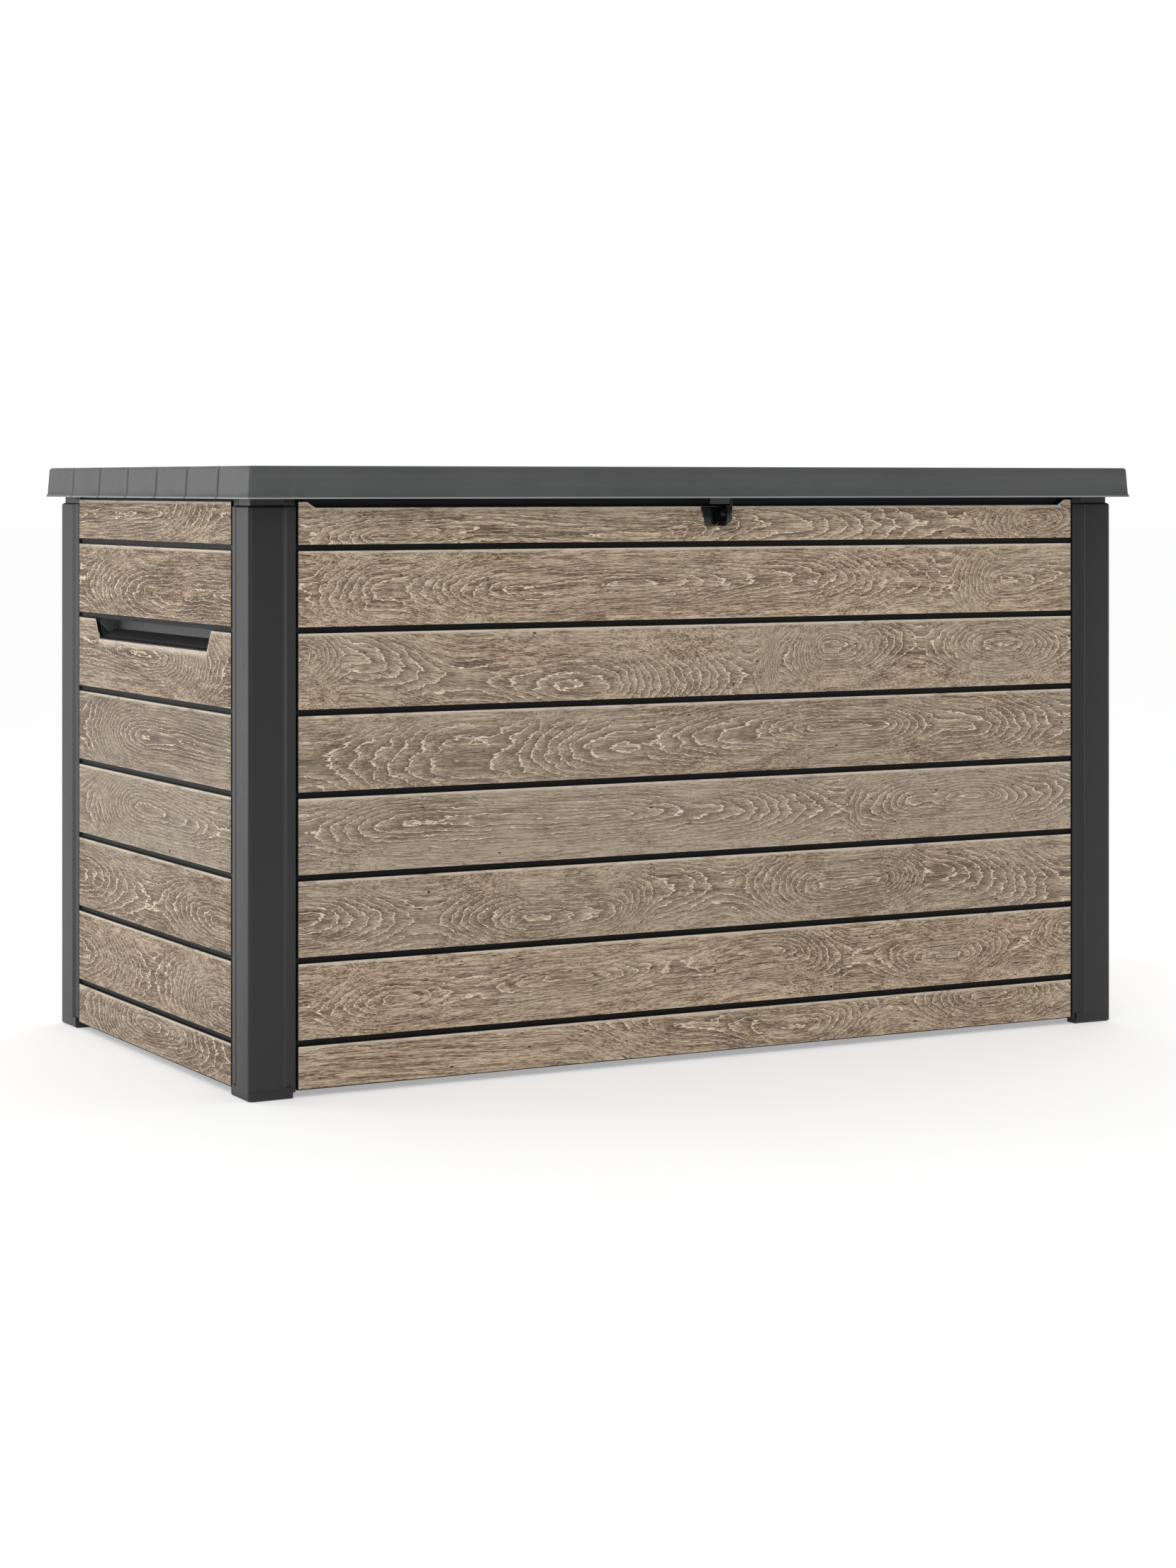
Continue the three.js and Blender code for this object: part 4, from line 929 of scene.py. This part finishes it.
# %% Stand the four posts
lid_low, lid_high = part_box("lid_cover")
post_low, post_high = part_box("corner_post_front_left")
CORNERS = {"front_left": (-1, -1, 0), "front_right": (1, -1, 90), "rear_right": (1, 1, 180),
           "rear_left": (-1, 1, 270)}
for corner, (x_side, y_side, turn) in CORNERS.items():
    node = "corner_post_" + corner
    place = (x_side * abs(post_low.x), y_side * abs(post_low.y), 0)
    mesh = post_mesh("post_" + corner, place, turn, lid_low.z, post_high.z)
    settle("post_" + corner, mesh, post_plastic, "box", [node])
print("four posts,", round((post_high.z - post_low.z) / MM), "millimetres tall")

# %% [markdown]
# ## The lid
#
# The lid is one shell moulded to look like seven planks, with six grooves that run along the top and down
# both ends. Cutting grooves into a finished shell leaves hard edges that are awkward to round. Here the
# shape is swept instead. One line goes up the left end, round the edge, across the top and down the right
# end. At every point of it the same row of points is laid front to back, pushed in where a groove is, with
# round shoulders. A Solidify modifier then gives the sheet its wall.

# %% Sweep the lid's outer skin
LID_GROOVE = 11 * MM
GROOVE_DEPTH = 3.5 * MM
END_GROOVE_SHARE = 0.9
GROOVE_ROUND = 2.2 * MM
GROOVE_FOOT = 0.97
LID_EDGE = 5 * MM
LID_DRAFT = 3.5 * MM
LID_LIP = 3 * MM
LIP_PROUD = 1.3 * MM
LID_WALL = 2.0 * MM
EDGE_STEPS = 6
TOP_STEPS = 24


def skirt_inset(z):
    """How far the skirt has drawn in at a height: a proud lip at the bottom, then a slight slope."""
    lip_top = lid_low.z + LID_LIP
    if z <= lip_top:
        return 0.0
    above = min(1.0, (z - lip_top) / (LID_EDGE * 0.3))
    climb = (z - lip_top) / (lid_high.z - LID_EDGE - lip_top)
    return LIP_PROUD * above + (LID_DRAFT - LIP_PROUD) * max(0.0, min(1.0, climb))


def lid_path():
    """Points up the left end, over the top and down the right: (x, z, outward x, outward z, groove share)."""
    lip_top = lid_low.z + LID_LIP
    heights = [lid_low.z + LID_LIP * share for share in (0, 0.6)]
    heights += [lip_top + LID_EDGE * share for share in (0, 0.15, 0.3)]
    knee = lid_high.z - LID_EDGE
    heights += [lip_top + (knee - lip_top) * share for share in (0.3, 0.55, 0.8)]
    left = [(lid_low.x + skirt_inset(z), z, -1.0, 0.0, END_GROOVE_SHARE) for z in heights]
    centre_x = lid_low.x + LID_DRAFT + LID_EDGE
    for i in range(EDGE_STEPS + 1):
        a = math.pi / 2 * i / EDGE_STEPS
        share = END_GROOVE_SHARE + (1 - END_GROOVE_SHARE) * i / EDGE_STEPS
        left.append((centre_x - LID_EDGE * math.cos(a), knee + LID_EDGE * math.sin(a), -math.cos(a),
                     math.sin(a), share))
    top = [(centre_x * (1 - 2 * i / TOP_STEPS), lid_high.z, 0.0, 1.0, 1.0) for i in range(1, TOP_STEPS)]
    right = [(-x, z, -nx, nz, share) for x, z, nx, nz, share in reversed(left)]
    return left + top + right


def lid_row():
    """Points from front to back: (y, how far pushed in by a groove)."""
    pitch = (lid_high.y - lid_low.y) / LID_PLANKS
    row = []
    for number in range(1, LID_PLANKS):
        middle = lid_low.y + number * pitch
        shoulder = LID_GROOVE / 2
        into = arc((middle - shoulder - GROOVE_ROUND * 0.4, -GROOVE_ROUND), GROOVE_ROUND, 90, 20, 3)
        row += [(y, -z / GROOVE_DEPTH) for y, z in into]
        foot = shoulder - GROOVE_ROUND
        row += [(middle - foot, GROOVE_FOOT), (middle, 1.0), (middle + foot, GROOVE_FOOT)]
        row += [(2 * middle - y, -z / GROOVE_DEPTH) for y, z in reversed(into)]
        row += [(middle + pitch / 2, 0.0)] if number < LID_PLANKS - 1 else []
    return row


def lid_mesh(name):
    """The lid's outer sheet: the grooved sweep, closed in front and behind by smooth skirts."""
    work = bmesh.new()
    path = lid_path()
    turns = [math.pi / 2 * i / EDGE_STEPS for i in range(EDGE_STEPS, -1, -1)]
    rows = []
    for x, z, out_x, out_z, groove_share in path:
        edge = lid_low.y + skirt_inset(min(z, lid_high.z - LID_EDGE))
        front = [(edge + LID_EDGE * (1 - math.sin(a)), LID_EDGE * (1 - math.cos(a))) for a in turns]
        back = [(-y, depth) for y, depth in reversed(front)]
        grooves = [(y, push * GROOVE_DEPTH * groove_share) for y, push in lid_row()]
        rows.append([work.verts.new((x - out_x * depth, y, z - out_z * depth))
                     for y, depth in front + grooves + back])
    for row, following in zip(rows, rows[1:]):
        for i in range(len(row) - 1):
            work.faces.new((row[i], row[i + 1], following[i + 1], following[i]))
    levels = (len(path) - TOP_STEPS + 1) // 2 - 1
    for side in (0, -1):
        rim = [row[side] for row in rows]
        for i in range(levels - 1):
            work.faces.new((rim[i], rim[i + 1], rim[-2 - i], rim[-1 - i]))
        work.faces.new(rim[levels - 1:len(rim) - levels + 1])
    bmesh.ops.recalc_face_normals(work, faces=work.faces)
    if sum(face.normal.z * face.calc_area() for face in work.faces) < 0:
        bmesh.ops.reverse_faces(work, faces=work.faces)
    mesh = bpy.data.meshes.new(name)
    work.to_mesh(mesh)
    work.free()
    return mesh


lid_shell = lid_mesh("lid_planks")
lid_piece = settle("lid_planks", smooth(lid_shell, 60), lid_plastic, "lid", ["lid_cover"])
lid_wall = lid_piece.modifiers.new("wall", "SOLIDIFY")
lid_wall.thickness = LID_WALL
lid_wall.offset = -1
print("lid swept through", len(lid_shell.vertices), "points")

# %% [markdown]
# ## Parts that keep their CAD shape
#
# The ribbed panels, the floor, the liner, the grip cups, the hinges and the brackets already have their real
# shape. They only lack the small rounds that every real edge has, which are what catch the light. Two
# modifiers add those without touching the CAD mesh: one melts flat triangles together, and one rounds what is
# left of the edges and hardens the normals so that the flats look flat.

# %% Soften CAD nodes and give them a finish
def dress(nodes, finish, rounding, segments=2):
    """Gives CAD nodes a finish and small rounds on their edges."""
    for name in nodes:
        node = frame["nodes"][name]
        node.data.materials.clear()
        node.data.materials.append(finish)
        melt = node.modifiers.new("melt", "DECIMATE")
        melt.decimate_type = "DISSOLVE"
        melt.angle_limit = math.radians(1)
        soften = node.modifiers.new("soften", "BEVEL")
        soften.width = rounding
        soften.segments = segments
        soften.limit_method = "ANGLE"
        soften.angle_limit = math.radians(40)
        soften.use_clamp_overlap = True
        soften.harden_normals = True


SIDES = ("left", "right")
HINGES = ("left", "middle", "right")
dress(["front_panel", "rear_panel", "left_panel", "right_panel"], wall_resin, 0.4 * MM, 1)
dress(["floor_panel", "lid_liner"], liner_plastic, 0.6 * MM)
dress([f"handle_cup_{side}" for side in SIDES], cup_plastic, 1.0 * MM)
dress([f"hinge_{part}_leaf_{side}" for part in ("wall", "lid") for side in HINGES], zinc_plate, 0.5 * MM)
dress([f"hinge_pin_{side}" for side in HINGES], ground_steel, 0.5 * MM)
dress([f"strut_{side}_{part}_bracket" for part in ("wall", "lid") for side in SIDES], zinc_plate, 0.6 * MM)
dress([f"strut_{side}_piston" for side in SIDES], ground_steel, 0.3 * MM)
dress([f"strut_{side}_rod_guide" for side in SIDES], socket_plastic, 0.3 * MM)

# %% [markdown]
# ## The latch
#
# The latch is two hard black mouldings with an eye in each, so that a padlock can go through both. One is a
# tapered plate on the wall with its eye standing out from one edge. The other hangs from the lid, just past
# the first. Both are flat shapes with soft edges, so each is one or two rounded plates.

# %% Make the latch
EYE_STEPS = 24
LATCH_ROUND = 1.1 * MM
keeper_low, keeper_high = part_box("latch_keeper")
tongue_low, tongue_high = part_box("latch_tongue")
PLATE_THICK = 3 * MM
PLATE_BOTTOM_HALF = 10 * MM
PLATE_CORNER = 5 * MM
CHEEK_THICK = 4.5 * MM
CHEEK_SET_IN = 1 * MM
EYE_RADIUS = 5.2 * MM
EYE_BACK = 12 * MM
EYE_HEIGHT = 790 * MM
CHEEK_ROUND = 12 * MM
CHEEK_SLOPE = 3.3 * MM
TIP_ROUND = 3 * MM
STEM_DEPTH = 8 * MM
STEM_OVERLAP = 6 * MM
STEM_BELOW_TOP = 14 * MM
FLAP_THICK = 3 * MM
FLAP_ROUND = 1.0 * MM
FLAP_GAP = 0.8 * MM
FOOT_ABOVE_SKIRT = 4 * MM


def facing_front(y):
    """The place of a plate drawn in (x, z) whose middle is at that y."""
    return Matrix.Translation((0, y, 0)) @ Matrix.Rotation(math.pi / 2, 4, "X")


def facing_side(x):
    """The place of a plate drawn in (y, z) whose middle is at that x."""
    return Matrix.Translation((x, 0, 0)) @ Matrix.Rotation(math.pi / 2, 4, "Z") @ Matrix.Rotation(
        math.pi / 2, 4, "X")


def circle(x, y, radius):
    """Points once round, without the first one again."""
    return arc((x, y), radius, 360, 360 / EYE_STEPS, EYE_STEPS - 1)


def rectangle(start, end, foot, top):
    """A box outline between two places along and two heights."""
    return [(start, foot), (end, foot), (end, top), (start, top)]


def cheek(name, back, tip, foot, top, x_middle):
    """The side plate with its eye: the top climbs towards the tip, and the lower corner is a big round."""
    low_round = arc((tip + CHEEK_ROUND, foot + CHEEK_ROUND), CHEEK_ROUND, 180, 270, 8)
    top_round = arc((tip + TIP_ROUND, top - TIP_ROUND), TIP_ROUND, 90, 180, 4)
    outline = [(back, foot), (back, top - CHEEK_SLOPE)] + top_round + low_round
    eye = circle(tip + EYE_BACK, EYE_HEIGHT, EYE_RADIUS)
    return rounded_plate(name, [outline, eye], CHEEK_THICK, LATCH_ROUND, facing_side(x_middle))


def keeper_mesh():
    """The tapered plate on the wall, with its eye at the right edge."""
    middle = (keeper_low.x + keeper_high.x) / 2
    wide = (keeper_high.x - keeper_low.x) / 2
    plate_top = keeper_high.z - CHEEK_SLOPE - 0.2 * MM
    low = keeper_low.z
    bottom = arc((middle + PLATE_BOTTOM_HALF - PLATE_CORNER, low + PLATE_CORNER), PLATE_CORNER, 345, 270, 5)
    bottom += [(2 * middle - x, z) for x, z in reversed(bottom)]
    outline = [(middle - wide, plate_top), (middle + wide, plate_top)] + bottom
    plate = rounded_plate("keeper_plate", [outline], PLATE_THICK, LATCH_ROUND,
                          facing_front(keeper_high.y - PLATE_THICK / 2))
    edge = keeper_high.x - CHEEK_SET_IN - CHEEK_THICK / 2
    side = cheek("keeper_eye", keeper_high.y, keeper_low.y, low, keeper_high.z, edge)
    return merged("latch_plate", plate, side)


def tongue_mesh():
    """The part on the lid: an eye beside the wall's one, a stem up to the lid, a flap and a foot."""
    edge = tongue_high.x - CHEEK_THICK / 2
    front = keeper_low.y
    top = keeper_high.z
    stem_top = tongue_high.z - STEM_BELOW_TOP
    side = cheek("tongue_eye", tongue_high.y, front, tongue_low.z, top, edge)
    stem_outline = rectangle(front + STEM_DEPTH, front, top - STEM_OVERLAP, stem_top)
    stem = rounded_plate("tongue_stem", [stem_outline], CHEEK_THICK, LATCH_ROUND, facing_side(edge))
    flap_outline = rectangle(keeper_low.x, tongue_high.x - CHEEK_THICK, top + FLAP_GAP, stem_top)
    flap = rounded_plate("tongue_flap", [flap_outline], FLAP_THICK, FLAP_ROUND,
                         facing_front(front + FLAP_THICK / 2))
    foot_outline = rectangle(tongue_low.x, tongue_high.x, lid_low.z + FOOT_ABOVE_SKIRT, tongue_high.z)
    foot = rounded_plate("tongue_foot", [foot_outline], FLAP_THICK, FLAP_ROUND,
                         facing_front(tongue_low.y + FLAP_THICK / 2))
    return merged("latch_hasp", side, stem, flap, foot)


settle("latch_plate", keeper_mesh(), latch_gloss, "box", ["latch_keeper"])
settle("latch_hasp", tongue_mesh(), latch_gloss, "lid", ["latch_tongue"])

# %% [markdown]
# ## Screws
#
# Each screw is a countersunk head with a cross pressed into it. The head is a turned disc, and the cross is
# really cut: a little four-armed star is lowered into the middle of the head's top.

# %% Make a screw head with a cross
HEAD_RADIUS = 4 * MM
HEAD_FLAT = 0.94
HEAD_SIDES = 36
CROSS_REACH = 2.1 * MM
CROSS_HALF = 0.45 * MM
CROSS_DEPTH = 0.9 * MM
CROSS_TAPER = 0.8
SCREW_LENGTH = 11.8 * MM
TIP_LENGTH = 2 * MM
SCREW_SHAPE = [(1.0, 0.35 * MM), (0.62, 1.9 * MM), (0.46, 2.4 * MM), (0.46, SCREW_LENGTH - TIP_LENGTH),
               (0.1, SCREW_LENGTH)]


def screw_mesh(name, head, into):
    """A screw whose head's middle is at head, pointing along into."""
    work = bmesh.new()
    turns = [2 * math.pi * i / HEAD_SIDES for i in range(HEAD_SIDES)]

    def ring_of(share, z):
        radius = HEAD_RADIUS * share
        return [work.verts.new((radius * math.cos(a), radius * math.sin(a), z)) for a in turns]

    reach, half = CROSS_REACH, CROSS_HALF
    star = [(reach, half), (half, half), (half, reach), (-half, reach), (-half, half), (-reach, half),
            (-reach, -half), (-half, -half), (-half, -reach), (half, -reach), (half, -half), (reach, -half)]
    outer = ring_of(HEAD_FLAT, 0.02 * MM)
    inner = [work.verts.new((x, y, 0.08 * MM)) for x, y in star]
    floor = [work.verts.new((x * CROSS_TAPER, y * CROSS_TAPER, CROSS_DEPTH)) for x, y in star]
    edges = [work.edges.new((loop[i], loop[(i + 1) % len(loop)]))
             for loop in (outer, inner) for i in range(len(loop))]
    bmesh.ops.triangle_fill(work, use_beauty=True, use_dissolve=False, edges=edges)
    star_face = [face for face in work.faces if all(vert in inner for vert in face.verts)]
    bmesh.ops.delete(work, geom=star_face, context="FACES_ONLY")

    def join(first, second):
        for i in range(len(first)):
            after = (i + 1) % len(first)
            work.faces.new((first[i], first[after], second[after], second[i]))

    join(inner, floor)
    work.faces.new(floor)
    previous = outer
    for share, z in SCREW_SHAPE:
        ring = ring_of(share, z)
        join(previous, ring)
        previous = ring
    work.faces.new(previous)
    turn = Vector((0, 0, 1)).rotation_difference(Vector(into)).to_matrix().to_4x4()
    bmesh.ops.transform(work, matrix=Matrix.Translation(head) @ turn, verts=work.verts)
    bmesh.ops.recalc_face_normals(work, faces=work.faces)
    mesh = bpy.data.meshes.new(name)
    work.to_mesh(mesh)
    work.free()
    return smooth(mesh, 30)


# %% Drive the screws
screw_nodes = [name for name in frame["nodes"] if "screw" in name]
for name in sorted(screw_nodes):
    low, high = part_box(name)
    from_front = name.startswith("latch")
    head_y = low.y if from_front else high.y
    head = ((low.x + high.x) / 2, head_y, (low.z + high.z) / 2)
    into = (0, 1, 0) if from_front else (0, -1, 0)
    body = "lid" if "lid_screw" in name else "box"
    mesh = screw_mesh(name + "_head", head, into)
    settle("driven_" + name, mesh, zinc_plate, body, [name])
print(len(screw_nodes), "screws driven")

# %% [markdown]
# ## The gas struts
#
# A gas strut is a closed black tube with a bright rod that slides out of it. Each end has a plastic socket
# that snaps onto a ball stud. All of it is round, so it is turned about the strut's own line, which runs
# between the two studs. The tube and its socket ride on one body and the rod on the other, so they slide
# past each other when the lid moves.

# %% Turn the strut pieces
TUBE_RADIUS = 9 * MM
TUBE_START = 14 * MM
TUBE_END = 311 * MM
ROD_RADIUS = 4 * MM
SOCKET_RADIUS = 8.5 * MM
SOCKET_HALF = 4.5 * MM
NECK_RADIUS = 5 * MM
UPPER_NECK = 20 * MM
ROD_INSIDE = 13 * MM
STUD_RADIUS = 4 * MM
STUD_WAIST = 3.2 * MM
COLLAR = 0.8 * MM
ROUND_SIDES = 36
TUBE_SIDES = 48
ROD_SIDES = 40
STUD_SIDES = 32


def centre_of(node):
    low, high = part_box(node)
    return (low + high) / 2


def socket_mesh(name, eye, towards, neck_radius, neck_length):
    """A round eye across the strut with a neck along it."""
    wide = 2 * SOCKET_HALF
    across = Vector((1, 0, 0))
    near = [(0, 0.2 * MM), (0, SOCKET_RADIUS - 1.5 * MM), (1.0 * MM, SOCKET_RADIUS - 0.3 * MM),
            (2 * MM, SOCKET_RADIUS)]
    far = [(wide - along, radius) for along, radius in reversed(near)]
    eye_part = turned(name, near + far, eye - across * SOCKET_HALF, eye + across * SOCKET_HALF, ROUND_SIDES)
    collar_start = neck_length - 2.5 * MM
    neck = [(2 * MM, neck_radius * 0.8), (5 * MM, neck_radius), (collar_start, neck_radius),
            (collar_start, neck_radius + COLLAR), (neck_length - 0.6 * MM, neck_radius + COLLAR),
            (neck_length, neck_radius)]
    neck_part = turned(name, neck, eye, eye + towards * neck_length, ROUND_SIDES)
    return merged(name, eye_part, neck_part)


def tube_profile():
    """The tube: a rounded foot, a rolled groove near the open end, a lip, and a throat round the rod."""
    start, end, radius = TUBE_START, TUBE_END, TUBE_RADIUS
    foot = [(start, 2 * MM), (start, radius - 2.4 * MM), (start + 0.8 * MM, radius - 0.8 * MM),
            (start + 2.4 * MM, radius)]
    groove = [(end - 9 * MM, radius), (end - 8 * MM, radius - 0.7 * MM), (end - 6.4 * MM, radius - 0.7 * MM),
              (end - 5.4 * MM, radius)]
    lip = [(end - 2.2 * MM, radius), (end - 0.7 * MM, radius - 0.7 * MM), (end, radius - 2.2 * MM)]
    throat = [(end, ROD_RADIUS + 0.5 * MM), (end - 4 * MM, ROD_RADIUS + 0.4 * MM), (end - 4 * MM, 0.5 * MM)]
    return foot + groove + lip + throat


def rod_profile(length):
    """The rod, from inside the tube to inside the upper socket."""
    start = TUBE_START + ROD_INSIDE
    end = length - UPPER_NECK
    return [(start, 0.5 * MM), (start, ROD_RADIUS - 0.4 * MM), (start + 0.4 * MM, ROD_RADIUS),
            (end, ROD_RADIUS), (end + 2 * MM, ROD_RADIUS - 0.5 * MM), (length - 10 * MM, 0.5 * MM)]


def stud_profile(reach):
    """A ball stud of that length: a domed end, and a waist near its root."""
    dome = [(0, 0.3 * MM), (0.3 * MM, 2.2 * MM), (1.2 * MM, 3.4 * MM), (2.6 * MM, STUD_RADIUS)]
    waist = [(reach - 6 * MM, STUD_RADIUS), (reach - 5 * MM, STUD_WAIST), (reach - 3.4 * MM, STUD_WAIST),
             (reach - 3 * MM, STUD_RADIUS)]
    return dome + waist + [(reach, STUD_RADIUS), (reach, 0.3 * MM)]


for side in SIDES:
    wall_stud, lid_stud = centre_of(f"strut_{side}_wall_stud"), centre_of(f"strut_{side}_lid_stud")
    strut_x = centre_of(f"strut_{side}_cylinder").x
    lower = Vector((strut_x, wall_stud.y, wall_stud.z))
    upper = Vector((strut_x, lid_stud.y, lid_stud.z))
    length = (upper - lower).length
    line = (upper - lower).normalized()
    cylinder_body = frame["nodes"][f"strut_{side}_cylinder"]["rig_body"]
    rod_body = frame["nodes"][f"strut_{side}_rod"]["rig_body"]

    tube = turned(f"strut_tube_{side}", tube_profile(), lower, upper, TUBE_SIDES)
    settle(f"strut_tube_{side}", tube, black_tube, cylinder_body, [f"strut_{side}_cylinder"])
    foot = socket_mesh(f"strut_foot_{side}", lower, line, NECK_RADIUS, TUBE_START)
    settle(f"strut_foot_{side}", foot, socket_plastic, cylinder_body,
           [f"strut_{side}_lower_socket"])
    rod = turned(f"strut_shaft_{side}", rod_profile(length), lower, upper, ROD_SIDES)
    settle(f"strut_shaft_{side}", rod, ground_steel, rod_body, [f"strut_{side}_rod"])
    head = socket_mesh(f"strut_head_{side}", upper, -line, NECK_RADIUS + 1 * MM, UPPER_NECK)
    settle(f"strut_head_{side}", head, socket_plastic, rod_body,
           [f"strut_{side}_upper_socket"])

    for end, stud, body in (("wall", wall_stud, "box"), ("lid", lid_stud, "lid")):
        node = f"strut_{side}_{end}_stud"
        low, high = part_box(node)
        tip_x, root_x = (low.x, high.x) if side == "right" else (high.x, low.x)
        tip = Vector((tip_x, stud.y, stud.z))
        root = Vector((root_x, stud.y, stud.z))
        ball = turned(f"ball_stud_{side}_{end}", stud_profile((root - tip).length), tip, root, STUD_SIDES)
        settle(f"ball_stud_{side}_{end}", ball, ground_steel, body, [node])
print("two gas struts,", round(length / MM), "millimetres between their studs when shut")

# %% [markdown]
# ## Measure the dressed box
#
# Last, the dressed box is measured and its size is printed.

# %% Print the dressed box's size
low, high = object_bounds()
print("dressed box, in millimetres:", [round(side / MM) for side in high - low])
